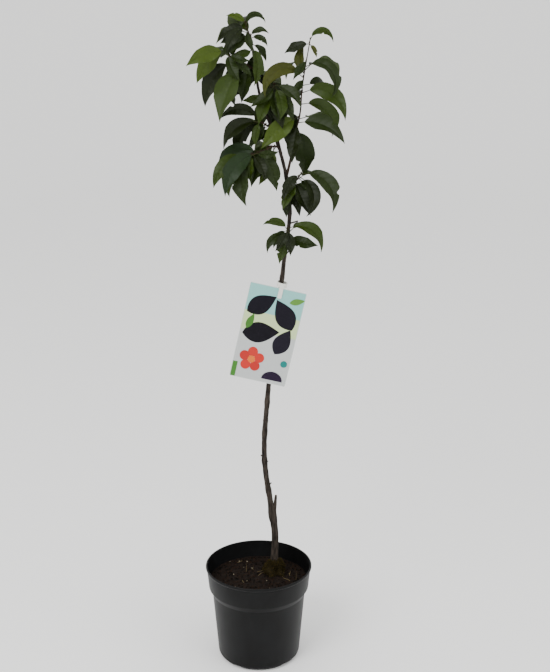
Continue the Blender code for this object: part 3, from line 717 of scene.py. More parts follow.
MASSES = (
    Mass("top_foliage", TRUNK_BENDS[-1][1], ((-3, -1, 24), (-13, -8, 55)), (
        Spray(1.00, 130, 60, 32, tone=Tone.LIGHT),
        Spray(0.95, 80, -150, 44),
        Spray(0.85, 188, 60, 54, 2, 30),
        Spray(0.50, 180, 40, 56, 2, 26),
        Spray(0.55, 35, -90, 34, 2, 34),
        Spray(0.25, 285, -45, 64, 2, 20),
    ), 7),
    Mass("upper_left_foliage", 1146, ((-20, -10, 12), (-38, -16, 17), (-50, -18, 38)), (
        Spray(0.95, 195, 38, 72, 2, 30, Tone.LIGHT),
        Spray(0.70, 215, 48, 92, tone=Tone.DARK),
        Spray(0.42, 236, 26, 104, tone=Tone.MID),
        Spray(0.55, 250, 30, 70, 2, 18),
        Spray(0.25, 260, -5, 54),
    ), 8),
    Mass("upper_right_foliage", 1101, ((12, -6, 7), (26, -12, 21)), (
        Spray(1.00, -35, -50, 56, 2, 40),
        Spray(0.75, -96, 5, 58, 2, 34),
        Spray(0.40, 20, -90, 50),
        Spray(0.25, -70, -25, 64, 2, 40),
        Spray(0.20, 60, -130, 54),
    ), 7),
    Mass("middle_left_foliage", 1046, ((-13, -8, 7), (-23, -14, 14)), (
        Spray(1.00, 130, 100, 70, tone=Tone.DARK),
        Spray(0.85, 190, 80, 80, 2, 26, Tone.DARK),
    ), 4),
    Mass("middle_foliage", 1011, ((-12, -20, 3), (-32, -34, -5), (-60, -40, -10)), (
        Spray(1.00, 206, 64, 78, 2, 26, Tone.MID),
        Spray(0.90, 240, 44, 78, 2, 16, Tone.DEEP),
        # These two leaves are coloured with painted shade and a bluish sheen.
        Spray(0.65, 184, 74, 92, 2, 24, Tone.PAINTED_SHADE_SHEEN),
        Spray(0.50, 226, 20, 62, 2, 28, Tone.DEEP),
        Spray(0.18, 250, -25, 66, 2, 18, Tone.LIGHT),
    ), 9),
    Mass("right_shoot_foliage", 1029, ((10, 0, 35), (15, 0, 88), (28, -2, 169)), (
        Spray(1.00, 62, -140, 52, tone=Tone.MID),
        Spray(0.97, -45, -35, 24, tone=Tone.YOUNG),
        Spray(0.66, 118, -60, 48, tone=Tone.YOUNG),
        Spray(0.62, 140, 140, 92, tone=Tone.YOUNG),
        Spray(0.72, 22, -150, 94, tone=Tone.DEEP),
        Spray(0.40, 12, -108, 104, 2, 16, Tone.MID),
        Spray(0.14, 10, -66, 92, tone=Tone.DEEP),
        Spray(0.10, -68, -30, 86, tone=Tone.DEEP),
        Spray(0.22, 208, 24, 84, tone=Tone.LIGHT),
        Spray(0.06, 95, 0, 16, 4, 38, Tone.DARK),
    ), 6),
    Mass("right_spur_foliage", 932, ((12, -6, 18), (23, -12, 33)), (
        Spray(1.00, 4, -112, 100, tone=Tone.DEEP),
        Spray(0.80, -28, -108, 80, tone=Tone.DARK),
        Spray(0.55, -80, 14, 58, 2, 16, Tone.DARK),
        Spray(0.25, -98, 20, 46, 2, 20, Tone.DARK),
    ), 6),
    Mass("low_spur_foliage", 843, ((-2, -9, 9), (1, -14, 23)), (
        Spray(0.90, 125, 90, 46, tone=Tone.MID),
        Spray(0.55, 178, 92, 46, tone=Tone.DEEP),
        Spray(0.90, 265, -15, 42, 2, 36, Tone.DARK),
        Spray(1.00, 18, -112, 80, tone=Tone.MID),
        Spray(0.25, 250, 8, 42, tone=Tone.MID),
    ), 3),
)


def stem_way(mass: Mass, count: int) -> np.ndarray:
    """Give the way of a mass's stem, from inside the trunk or just beyond a limb's tip.

    Args:
        mass: The mass of foliage.
        count: How many rows to give.

    Returns:
        Rows of x, y, z and radius, in metres.
    """
    foot = trunk_at(mass.foot)
    if mass.name == "top_foliage":
        foot = foot + unit(np.array(mass.stem[0], float)) * END_GAP
    if mass.name == "right_shoot_foliage":
        foot = bough_way()[-1, :3] / MM + unit(np.array(mass.stem[0], float)) * END_GAP
    return limb(foot, ((0, 0, 0), *mass.stem), STEM_FOOT_RADIUS, STEM_TIP_RADIUS, count)


def half_width(share: float) -> float:
    """Give the blade's half width.

    Args:
        share: How far along the blade, from 0 to 1.

    Returns:
        The half width as a share of its widest.
    """
    rise = WIDEST / (1 - WIDEST)
    peak = WIDEST ** rise * (1 - WIDEST)
    return share ** rise * (1 - share) / peak


class Blade:
    """A leaf blade in space: where its midrib runs and how its sides lie."""

    def __init__(self, base: np.ndarray, length: float, width: float) -> None:
        """Start a blade.

        Args:
            base: Where the blade meets its stalk.
            length: Its length in metres.
            width: Its full width in metres.
        """
        self.base = base
        self.length = length
        self.width = width
        self.heads: list = []
        self.sides: list = []
        self.tone: Tone | None = None

    def lay(self, head_of: Callable[[float], np.ndarray],
            side_of: Callable[[float], np.ndarray]) -> "Blade":
        """Fill the frames at the blade's base, stations and tip.

        Args:
            head_of: Gives the midrib's heading at a share of the length.
            side_of: Gives the side direction at a share of the length.

        Returns:
            The blade itself.
        """
        for share in BLADE_SHARES:
            head = unit(head_of(share))
            side = side_of(share)
            self.heads.append(head)
            self.sides.append(unit(side - head * side.dot(head)))
        return self

    def middles(self) -> list[np.ndarray]:
        """Walk the midrib.

        Returns:
            Its points at the base, the stations and the tip.
        """
        spots = [self.base]
        for k in range(1, len(BLADE_SHARES)):
            step = (BLADE_SHARES[k] - BLADE_SHARES[k - 1]) * self.length
            spots.append(spots[-1] + unit(self.heads[k - 1] + self.heads[k]) * step)
        return spots

    def stalk(self, root: np.ndarray, t: float) -> tuple[np.ndarray, np.ndarray]:
        """Follow the stalk.

        Args:
            root: Where it leaves the stem.
            t: How far along it, from 0 to 1.

        Returns:
            The spot and the heading there.
        """
        reach = np.linalg.norm(self.base - root)
        knee = self.base - self.heads[0] * min(0.5 * reach, STALK_KNEE)
        spot = (1 - t) ** 2 * root + 2 * t * (1 - t) * knee + t * t * self.base
        return spot, unit(2 * (1 - t) * (knee - root) + 2 * t * (self.base - knee))

    def skin(self, root: np.ndarray, start: float = 0.0, extra: float = 0.0) -> Skin:
        """Skin the stalk and the blade coarsely.

        Args:
            root: Where the stalk leaves the stem.
            start: The share of the stalk to leave out at its foot.
            extra: How far to swell the skin all round.

        Returns:
            Points and faces.
        """
        spots = self.middles()
        stalk, end = (STALK_RADIUS * swell + extra for swell in STALK_SWELLS)
        rings = []
        for t in (start, 0.5 * (1 + start)):
            spot, head = self.stalk(root, t)
            side = unit(self.sides[0] - head * self.sides[0].dot(head))
            rings.append(self.ring(spot, head, side, stalk, 0.0, extra))
        rings.append(self.ring(spots[0], self.heads[0], self.sides[0], end, 0.0, extra))
        for k, share in enumerate(BLADE_STATIONS, 1):
            half = half_width(share) * self.width / 2 + extra
            rings.append(self.ring(spots[k], self.heads[k], self.sides[k], half, LEAF_FOLD, extra))
        points, faces = loft(rings)
        faces.pop()
        last = len(points)
        points.append(spots[-1] + self.heads[-1] * extra)
        for k in range(4):
            faces.append((last - 4 + k, last - 4 + (k + 1) % 4, last))
        return points, faces

    def ring(self, spot: np.ndarray, head: np.ndarray, side: np.ndarray, half: float,
             fold: float, extra: float) -> list[np.ndarray]:
        """Lay one four-cornered section.

        Args:
            spot: Its middle.
            head: The heading it stands across.
            side: The direction of its width.
            half: Half its width.
            fold: How far its sides are folded up, in degrees; none for a stalk.
            extra: How far to swell its thickness.

        Returns:
            The left edge, the top, the right edge and the underside.
        """
        normal = np.cross(head, side)
        thick = (LEAF_THICKNESS if fold else 2 * STALK_RADIUS) / 2 + extra
        lift = normal * half * math.sin(math.radians(fold))
        arm = side * half * math.cos(math.radians(fold))
        return [spot + arm + lift, spot + normal * thick, spot - arm + lift,
                spot - normal * thick]

    def in_stem(self, root: np.ndarray) -> float:
        """Give the share of the stalk that is left out of tests, as it starts inside the stem."""
        reach = np.linalg.norm(self.base - root)
        return min(STALK_IN_STEM_MOST, STALK_IN_STEM / max(reach, 1e-6))

    def samples(self) -> list[np.ndarray]:
        """Spread points over the blade.

        Returns:
            The tip, and three points across each station.
        """
        spots = self.middles()
        out = [spots[-1]]
        for k, share in enumerate(BLADE_STATIONS, 1):
            half = half_width(share) * self.width / 2 * SAMPLE_SHARE
            out += [spots[k] + self.sides[k] * half, spots[k], spots[k] - self.sides[k] * half]
        return out


def spray_blade(stem: np.ndarray, spray: Spray, k: int, front: bool, loose: float,
                draw: random.Random) -> tuple[Blade, np.ndarray]:
    """Lay one leaf of a spray.

    Args:
        stem: The stem's way.
        spray: The spray.
        k: The leaf's number in it.
        front: Whether it leaves the stem towards the front.
        loose: How freely it is drawn, from 0 to 1.
        draw: The source of chance.

    Returns:
        The blade and the root of its stalk.
    """
    place = k - (spray.count - 1) / 2
    share = min(1.0, max(SPRAY_LOWEST, spray.share + SPRAY_STEP * place))
    root = stem[round(share * (len(stem) - 1)), :3]
    depth = -1.0 if front else 1.0
    start = spray.heading + spray.fan * place + draw.uniform(-SPRAY_TURN, SPRAY_TURN) * loose
    lean = math.radians(draw.uniform(*SPRAY_LEANS)) * depth
    turn = math.radians(draw.uniform(*SPRAY_ROLLS))
    length = spray.length * MM * draw.uniform(*SPRAY_SIZES)
    width = length * (WIDTH_MOST - WIDTH_LOSS * abs(spray.bend))
    away = depth * draw.uniform(*SPRAY_DEPTHS) * (1.0 + loose)
    angle = math.radians(start)
    out = unit(np.array((math.cos(angle), away, math.sin(angle))))
    base = root + out * length * STALK_SHARE
    facing = 1.0 if math.cos(math.radians(start + spray.bend / 2)) > 0 else -1.0

    def head_of(share: float) -> np.ndarray:
        """Give the midrib's heading at a share of its length."""
        a = math.radians(start + spray.bend * share ** SPRAY_BEND_POWER)
        return np.array((math.cos(a) * math.cos(lean), math.sin(lean),
                         math.sin(a) * math.cos(lean)))

    def side_of(share: float) -> np.ndarray:
        """Give the blade's side direction at a share of its length."""
        a = math.radians(start + spray.bend * share ** SPRAY_BEND_POWER)
        return np.array((-math.sin(a) * math.cos(turn), facing * math.sin(turn),
                         math.cos(a) * math.cos(turn)))

    return Blade(base, length, width).lay(head_of, side_of), root


def rule_blade(anchor: np.ndarray, draw: random.Random, order: int) -> Blade:
    """Lay a leaf by the seeded rule: two fifths of a turn from the last, arching over and down.

    Args:
        anchor: Where its stalk leaves the stem.
        draw: The source of chance.
        order: The leaf's number along the stem.

    Returns:
        The blade.
    """
    bearing = math.radians(RULE_TURN * order + draw.uniform(-RULE_SPREAD, RULE_SPREAD))
    if math.sin(bearing) < RULE_FRONT:
        bearing = -bearing
    rise = math.radians(draw.uniform(*RULE_RISES))
    droop = math.radians(draw.uniform(*RULE_DROOPS))
    roll = math.radians(draw.uniform(*RULE_ROLLS))
    length = draw.uniform(*RULE_LENGTHS) * MM
    width = length * draw.uniform(*RULE_WIDTHS)
    stalk = draw.uniform(*RULE_STALKS) * MM
    out, across = level_axes(bearing)
    base = anchor + out * stalk * math.cos(rise) + np.array((0, 0, stalk * math.sin(rise)))

    def head_of(share: float) -> np.ndarray:
        """Give the midrib's heading at a share of its length."""
        slope = rise + (droop - rise) * share ** RULE_DROOP_POWER
        return out * math.cos(slope) + np.array((0, 0, math.sin(slope)))

    def side_of(share: float) -> np.ndarray:
        """Give the blade's side direction at a share of its length."""
        normal = np.cross(unit(head_of(share)), across)
        return across * math.cos(roll) + normal * math.sin(roll)

    return Blade(base, length, width).lay(head_of, side_of)


def tree_of(points: list, faces: list) -> BVHTree:
    """Make a search tree from a skin."""
    return BVHTree.FromPolygons([Vector(point) for point in points], faces)


class Crown:
    """Places the leaves of all masses and remembers what is already taken."""

    def __init__(self, limbs: list[Skin]) -> None:
        """Start with bare stems.

        Args:
            limbs: The skins of the limbs that no leaf may touch.
        """
        self.taken = [tree_of(*skin) for skin in limbs]
        self.stems = {mass.name: stem_way(mass, STEM_RINGS * len(mass.stem)) for mass in MASSES}
        self.stem_trees = {name: tree_of(*tube(way, STEM_SIDES))
                           for name, way in self.stems.items()}
        self.screens: list = []
        self.grown: dict = {mass.name: [] for mass in MASSES}

    def clear(self, mass: Mass, blade: Blade, root: np.ndarray) -> bool:
        """Tell whether a leaf stays clear of limbs, other stems and the leaves placed before.

        Args:
            mass: The mass it belongs to.
            blade: The leaf.
            root: Where its stalk leaves the stem.

        Returns:
            True where nothing is touched.
        """
        free = tree_of(*blade.skin(root, blade.in_stem(root), CLEARANCE))
        if any(free.overlap(other) for other in self.taken):
            return False
        for name, tree in self.stem_trees.items():
            if name != mass.name and free.overlap(tree):
                return False
        bare = tree_of(*blade.skin(root, STALK_END_SHARE, CLEARANCE))
        return not bare.overlap(self.stem_trees[mass.name])

    def take(self, mass: Mass, blade: Blade, root: np.ndarray) -> None:
        """Keep a leaf and block its place."""
        self.grown[mass.name].append((blade, root))
        self.taken.append(tree_of(*blade.skin(root, blade.in_stem(root), CLEARANCE)))

    def place_sprays(self, mass: Mass, draw: random.Random) -> None:
        """Hang a mass's sprays, each leaf drawn again, more loosely, until it finds room.

        Args:
            mass: The mass to fill.
            draw: The source of chance.
        """
        order = 0
        for spray in mass.sprays:
            for k in range(spray.count):
                order += 1
                for attempt in range(SPRAY_TRIES):
                    front = (order + attempt) % 3 != 0
                    blade, root = spray_blade(self.stems[mass.name], spray, k, front,
                                              attempt / SPRAY_TRIES, draw)
                    if self.clear(mass, blade, root):
                        blade.tone = spray.tone
                        self.take(mass, blade, root)
                        self.screens.append(tree_of(*blade.skin(root)))
                        break

    def hidden(self, blade: Blade) -> float:
        """Tell how far the leaves in front hide a blade from straight in front.

        Args:
            blade: The blade.

        Returns:
            The share of its points that are hidden.
        """
        spots = blade.samples()
        count = 0
        for spot in spots:
            towards = Vector(unit(FRONT_POINT - spot))
            start = Vector(spot) + towards * SIGHT_START
            if any(screen.ray_cast(start, towards)[0] is not None for screen in self.screens):
                count += 1
        return count / len(spots)

    def place_behind(self, mass: Mass, draw: random.Random) -> None:
        """Grow the rest of a mass by the seeded rule, skipping what finds no room.

        Args:
            mass: The mass to fill.
            draw: The source of chance.
        """
        way = self.stems[mass.name]
        last = len(way) - 1
        for order in range(mass.behind):
            for _ in range(RULE_TRIES):
                share = (order + draw.uniform(*RULE_PLACES)) / mass.behind
                row = RULE_FIRST_RING + int(share * (last - RULE_FIRST_RING))
                root = way[min(last, row), :3]
                blade = rule_blade(root, draw, order)
                if self.hidden(blade) < HIDDEN_SHARE:
                    continue
                if self.clear(mass, blade, root):
                    self.take(mass, blade, root)
                    break

    def place_inner(self, mass: Mass, draw: random.Random) -> None:
        """Thicken a mass close to the trunk, inside its node's box.

        Args:
            mass: The mass to thicken.
            draw: The source of chance.
        """
        low, high = (np.array(corner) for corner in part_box(mass.name))
        for order in range(INNER_LEAVES[mass.name]):
            for _ in range(RULE_TRIES):
                spray = Spray(draw.uniform(*INNER_PLACES), draw.uniform(*INNER_HEADINGS),
                              draw.uniform(*INNER_BENDS), draw.uniform(*INNER_LENGTHS))
                blade, root = spray_blade(self.stems[mass.name], spray, 0, order % 2 == 0,
                                          draw.random(), draw)
                spots = np.array(blade.middles())
                far = abs(spots[-1, 0] - trunk_at(spots[-1, 2] / MM)[0] * MM)
                if far > INNER_REACH or (spots < low).any() or (spots > high).any():
                    continue
                if self.clear(mass, blade, root):
                    self.take(mass, blade, root)
                    break


@dataclass
class FineLeaf:
    """The fine mesh of one leaf: a thin toothed blade with veins, waves and now and then a bite."""

    blade: Blade
    draw: random.Random
    along: int = FINE_ALONG
    across: int = FINE_ACROSS

    def frames(self) -> tuple[np.ndarray, np.ndarray, np.ndarray]:
        """Run the midrib and its sides smoothly through the coarse stations.

        Returns:
            Arrays of spots, headings and sides, a row for each fine station.
        """
        shares = np.array(BLADE_SHARES)
        sides = np.array(self.blade.sides)
        fine = np.linspace(0.0, 1.0, self.along + 1)
        index = np.clip(np.searchsorted(shares, fine, side="right") - 1, 0, len(shares) - 2)
        span = shares[index + 1] - shares[index]
        t = ((fine - shares[index]) / span)[:, None]
        middle = hermite(t, (span * self.blade.length)[:, None], np.array(self.blade.middles()),
                         np.array(self.blade.heads), index)
        head = np.gradient(middle, axis=0)
        head /= np.linalg.norm(head, axis=1)[:, None]
        side = (1 - t) * sides[index] + t * sides[index + 1]
        side -= head * np.sum(side * head, axis=1)[:, None]
        side /= np.linalg.norm(side, axis=1)[:, None]
        return middle, head, side

    def reach(self, half: np.ndarray, share: np.ndarray, a: np.ndarray) -> np.ndarray:
        """Give how far the blade reaches from its midrib, with teeth and sometimes a bite.

        Args:
            half: The plain half width at each station.
            share: How far along each station is.
            a: How far across each point is, from -1 to 1.

        Returns:
            The reach at each point.
        """
        tooth = (share * TEETH) % 1.0
        edge = np.abs(a) ** TOOTH_EDGE_POWER
        reach = half * (1.0 + TOOTH * (tooth - TOOTH_LEVEL) * edge)
        if self.draw.random() < BITE_CHANCE:
            spot = self.draw.uniform(*BITE_PLACES)
            deep = self.draw.uniform(*BITE_DEPTHS)
            bite = deep * np.exp(-((share - spot) / BITE_SPREAD) ** 2)
            reach = reach * (1.0 - bite * (np.sign(a) == self.draw.choice((-1, 1))))
        return np.maximum(reach, LEAST_REACH)

    def skin(self) -> tuple[np.ndarray, list, list]:
        """Lay the upper and lower faces and join them round the edge.

        Returns:
            Points, faces and the slot of each face, 0 above and 1 below.
        """
        middle, head, side = self.frames()
        share = np.linspace(0.0, 1.0, self.along + 1)[:, None]
        a = np.linspace(-1.0, 1.0, self.across + 1)[None, :]
        half = np.array([half_width(s) for s in share[:, 0]])[:, None] * self.blade.width / 2
        end = np.clip((share - TIP_START) / (1.0 - TIP_START), 0.0, 1.0)
        half = half * (1.0 - TIP_NARROWING * end)
        curl = self.blade.length * TIP_CURL * end**2 * self.draw.uniform(*TIP_CURL_SHARES)
        middle = middle - np.cross(head, side) * curl
        reach = self.reach(half, share, a)
        phase = self.draw.uniform(0, math.tau)
        fold = math.radians(LEAF_FOLD + self.draw.uniform(*FOLD_SPREAD))
        waves = math.tau * self.draw.uniform(*WAVE_COUNTS) * share
        wave = np.sin(waves + phase + WAVE_SHIFT * np.sign(a))
        lift = reach * (math.sin(fold) * np.abs(a) ** FOLD_POWER + WAVE_HEIGHT * wave * a**2)
        line = (share * VEINS - VEIN_SLANT * np.abs(a)) % 1.0 - 0.5
        vein = np.exp(-(line / VEIN_SPREAD) ** 2) * (1.0 - VEIN_FADE * np.abs(a))
        swell = np.minimum(1.0, half / (RELIEF_FULL_FROM * self.blade.width))
        midrib = MIDRIB_DEPTH * np.exp(-(a / MIDRIB_SPREAD) ** 2)
        relief = -VEIN_DEPTH * swell * (vein + midrib)
        rib = RIB_HEIGHT * np.exp(-(a / RIB_SPREAD) ** 2) * swell
        normal = np.cross(head, side)[:, None, :]
        flat = middle[:, None, :] + side[:, None, :] * (reach * a * math.cos(fold))[:, :, None]
        above = lift + relief + FINE_THICKNESS / 2
        below = lift + relief * RELIEF_BELOW - FINE_THICKNESS / 2 - rib
        points = np.concatenate([(flat + normal * height[:, :, None]).reshape(-1, 3)
                                 for height in (above, below)])
        return points, *self.faces()

    def faces(self) -> tuple[list, list]:
        """Join the points of both sides.

        Returns:
            Faces and the slot of each, 0 above and 1 below.
        """
        width = self.across + 1
        count = (self.along + 1) * width
        faces, slots = [], []
        for row in range(self.along):
            for k in range(self.across):
                here = row * width + k
                quad = (here, here + 1, here + width + 1, here + width)
                faces += [quad, tuple(count + v for v in reversed(quad))]
                slots += [0, 1]
        border = list(range(width))
        border += [row * width + self.across for row in range(1, self.along + 1)]
        border += [self.along * width + k for k in range(self.across - 1, -1, -1)]
        border += [row * width for row in range(self.along - 1, 0, -1)]
        for here, beside in zip(border, border[1:] + border[:1]):
            faces.append((beside, here, here + count, beside + count))
            slots.append(0)
        return faces, slots


@dataclass
class Foliage:
    """One mass of foliage: its leaves in one piece, its stem, stalks and buds in another."""

    mass: Mass
    leaves: list
    stem_rings: int = 60
    stem_sides: int = 12
    stalk_rings: int = 9
    stalk_sides: int = 7
    stalk_swell: float = 1.25
    stalk_taper: float = 0.4
    usual_tones: tuple = (Tone.DARK, Tone.DEEP, Tone.DEEP, Tone.MID)

    def build(self) -> None:
        """Build both pieces and put them in place of the mass's node."""
        draw = random.Random(self.mass.name)
        tones = list(Tone)
        green = Heap()
        wood = Heap()
        wood.add(*tube(stem_way(self.mass, self.stem_rings), self.stem_sides))
        for blade, root in self.leaves:
            top = tones.index(blade.tone or draw.choice(self.usual_tones))
            points, faces, slots = FineLeaf(blade, draw).skin()
            green.add(points, faces, [len(tones) if slot else top for slot in slots])
            self.add_stalk(wood, blade, root)
        finishes = [*(tone.finish() for tone in tones), LEAF_UNDER]
        settle(green.make("leaves_" + self.mass.name, finishes), "leaf_green", self.mass.name)
        settle(wood.make("twigs_" + self.mass.name, [SHOOT, STALK_GREEN, BUD_BROWN]),
               "shoot_bark", self.mass.name)

    def add_stalk(self, wood: Heap, blade: Blade, root: np.ndarray) -> None:
        """Add a leaf's stalk and the bud at its foot.

        Args:
            wood: Where the twigs gather.
            blade: The leaf.
            root: Where the stalk leaves the stem.
        """
        rows = [(*blade.stalk(root, t)[0], STALK_RADIUS * (self.stalk_swell - self.stalk_taper * t))
                for t in np.linspace(0.0, 1.0, self.stalk_rings)]
        wood.add(*tube(np.array(rows), self.stalk_sides), 1)
        foot = root + np.array((0, 0, BUD_RISE))
        way = (blade.stalk(root, 0.0)[1] * 0.5 + np.array((0, 0, 0.8))) * BUD_LENGTH
        rows = [(*(foot + way * t), BUD_RADIUS * share) for t, share in BUD_SHAPE]
        wood.add(*tube(np.array(rows), self.stalk_sides), 2)


@dataclass
class Wood:
    """The trunk and the side bough with the relief of their bark."""

    rings: int = 560
    sides: int = 40
    stub_rings: int = 34
    stub_sides: int = 20
    cap_sides: int = 16
    cap_share: float = 0.8
    cap_ends: tuple = (-0.0002, 0.00025)
    bough_rings: int = 90
    bough_sides: int = 20
    bough_relief: float = 0.4

    # The bark's relief: depths, and how many fissures and grains come to the metre.
    fissure: float = 0.00045
    fissures_across: float = 420.0
    fissures_along: float = 90.0
    grain: float = 0.00014
    grains: float = 1300.0
    pore: float = 0.0008
    pore_level: float = 0.35

    def bark(self, turn: float, point: np.ndarray) -> float:
        """Give the relief of the bark: long fissures, fine grain and pores.

        Args:
            turn: The turn round the limb, in radians.
            point: The point on the plain limb.

        Returns:
            The extra radius there.
        """
        across, along = self.fissures_across, self.fissures_along
        long = noise.noise(Vector((point[0] * across, point[1] * across, point[2] * along)))
        fine = noise.noise(Vector(point) * self.grains)
        pore = max(0.0, noise.noise(Vector((turn * 3.0, 7.0, point[2] * across))) - self.pore_level)
        return self.fissure * long + self.grain * fine + self.pore * pore

    def build(self) -> None:
        """Build the trunk with its stubs, and the bough."""
        trunk = Heap()
        trunk.add(*tube(trunk_way(0.0, self.rings), self.sides, self.bark))
        for height, heading, length, low, high in TRUNK_STUBS:
            angle = math.radians(heading)
            tip = (length * math.cos(angle), 0, length * math.sin(angle))
            way = limb(trunk_at(height), ((0, 0, 0), tip), low, high, self.stub_rings)
            trunk.add(*tube(way, self.stub_sides, self.bark))
            cap = way[-1:].repeat(2, axis=0)
            cap[:, :3] += unit(np.array(tip)) * np.array(self.cap_ends)[:, None]
            cap[:, 3] *= self.cap_share
            trunk.add(*tube(cap, self.cap_sides), 1)
        settle(trunk.make("trunk_bark", [BARK, CUT_WOOD]), "bark_grey", "trunk")
        bough = Heap()
        bough.add(*tube(bough_way(self.bough_rings), self.bough_sides,
                        lambda turn, point: self.bough_relief * self.bark(turn, point)))
        settle(bough.make("bough_bark", [SHOOT]), "shoot_bark", "right_bough")


@dataclass
class Pot:
    """The nursery pot with its rim, collar and drainage notches."""

    steps: int = POT_STEPS
    merge: float = 0.00001
    sharp_angle: float = 38.0

    def profile(self) -> list[tuple[float, float]]:
        """Trace the wall: up the outside, over the rim and down the inside.

        Returns:
            The radius and height of each point. The small offsets round the corners.
        """
        return [
            (0.0, 0.0), (NOTCH_INNER - 0.006, 0.0), (POT_SOLE_RADIUS, 0.0),
            (POT_SOLE_RADIUS + 0.0035, 0.0006), (POT_SOLE_RADIUS + 0.0065, 0.0024),
            (POT_HEEL_RADIUS - 0.0018, 0.0060), (POT_HEEL_RADIUS - 0.0004, 0.0090),
            (POT_HEEL_RADIUS, POT_HEEL), (POT_BODY_RADIUS, POT_BODY_TOP),
            (POT_BODY_RADIUS + 0.0005, POT_BODY_TOP + 0.0020),
            (POT_BODY_RADIUS + 0.0018, POT_BODY_TOP + 0.0038),
            (POT_COLLAR_FOOT_RADIUS - 0.0018, POT_COLLAR_FOOT - 0.0042),
            (POT_COLLAR_FOOT_RADIUS - 0.0005, POT_COLLAR_FOOT - 0.0022),
            (POT_COLLAR_FOOT_RADIUS, POT_COLLAR_FOOT),
            (POT_RIM_RADIUS - 0.0020, POT_HEIGHT - 0.0062),
            (POT_RIM_RADIUS - 0.0005, POT_HEIGHT - 0.0048),
            (POT_RIM_RADIUS, POT_HEIGHT - 0.0034), (POT_RIM_RADIUS, POT_HEIGHT - 0.0012),
            (POT_RIM_RADIUS - 0.0004, POT_HEIGHT - 0.0004), (POT_RIM_RADIUS - 0.0010, POT_HEIGHT),
            (POT_RIM_RADIUS - POT_WALL - 0.0004, POT_HEIGHT),
            (POT_RIM_RADIUS - POT_WALL - 0.0010, POT_HEIGHT - 0.0006),
            (POT_COLLAR_FOOT_RADIUS - POT_WALL, POT_COLLAR_FOOT),
            (POT_BODY_RADIUS - POT_WALL, POT_BODY_TOP - 0.002),
            (POT_HEEL_RADIUS - POT_WALL, POT_HEEL + 0.001),
            (POT_SOLE_RADIUS - 0.5 * POT_WALL, POT_FLOOR), (0.0, POT_FLOOR),
        ]

    def build(self) -> None:
        """Spin the profile, cut the notches and smooth the shell."""
        mesh = bpy.data.meshes.new("pot_shell")
        points = [(radius, 0.0, height) for radius, height in self.profile()]
        mesh.from_pydata(points, [(k, k + 1) for k in range(len(points) - 1)], [])
        mesh.materials.append(POT_BLACK.make())
        pot = link("pot_shell", mesh)
        screw = pot.modifiers.new("spin", "SCREW")
        screw.steps = self.steps
        screw.render_steps = self.steps
        screw.use_merge_vertices = True
        screw.merge_threshold = self.merge
        apply_modifier(pot, "spin")
        face_out(pot.data)
        cutter = self.notches()
        cut = pot.modifiers.new("notches", "BOOLEAN")
        cut.operation = "DIFFERENCE"
        cut.object = cutter
        cut.solver = "EXACT"
        apply_modifier(pot, "notches")
        bpy.data.objects.remove(cutter, do_unlink=True)
        pot.data.shade_smooth()
        pot.data.set_sharp_from_angle(angle=math.radians(self.sharp_angle))
        settle(pot, "pot_black", "pot")

    def notches(self) -> bpy.types.Object:
        """Make the cutter of all notches, round at the top.

        Returns:
            The cutter.
        """
        arc = NOTCH_HEIGHT - NOTCH_SHOULDER
        corners = [(-0.5, -NOTCH_BELOW), (0.5, -NOTCH_BELOW)]
        corners += [(0.5 * math.cos(a), NOTCH_SHOULDER + arc * math.sin(a))
                    for a in np.linspace(0.0, math.pi, NOTCH_ARC_POINTS)]
        heap = Heap()
        for k in range(NOTCHES):
            out, across = level_axes(math.radians(NOTCH_FIRST_BEARING + 360.0 / NOTCHES * k))
            rings = [[out * reach + across * NOTCH_WIDTH * share + np.array((0, 0, height))
                      for share, height in corners] for reach in (NOTCH_INNER, POT_RIM_RADIUS)]
            heap.add(*loft(rings))
        return heap.make("notch_cutter", [POT_BLACK], False)


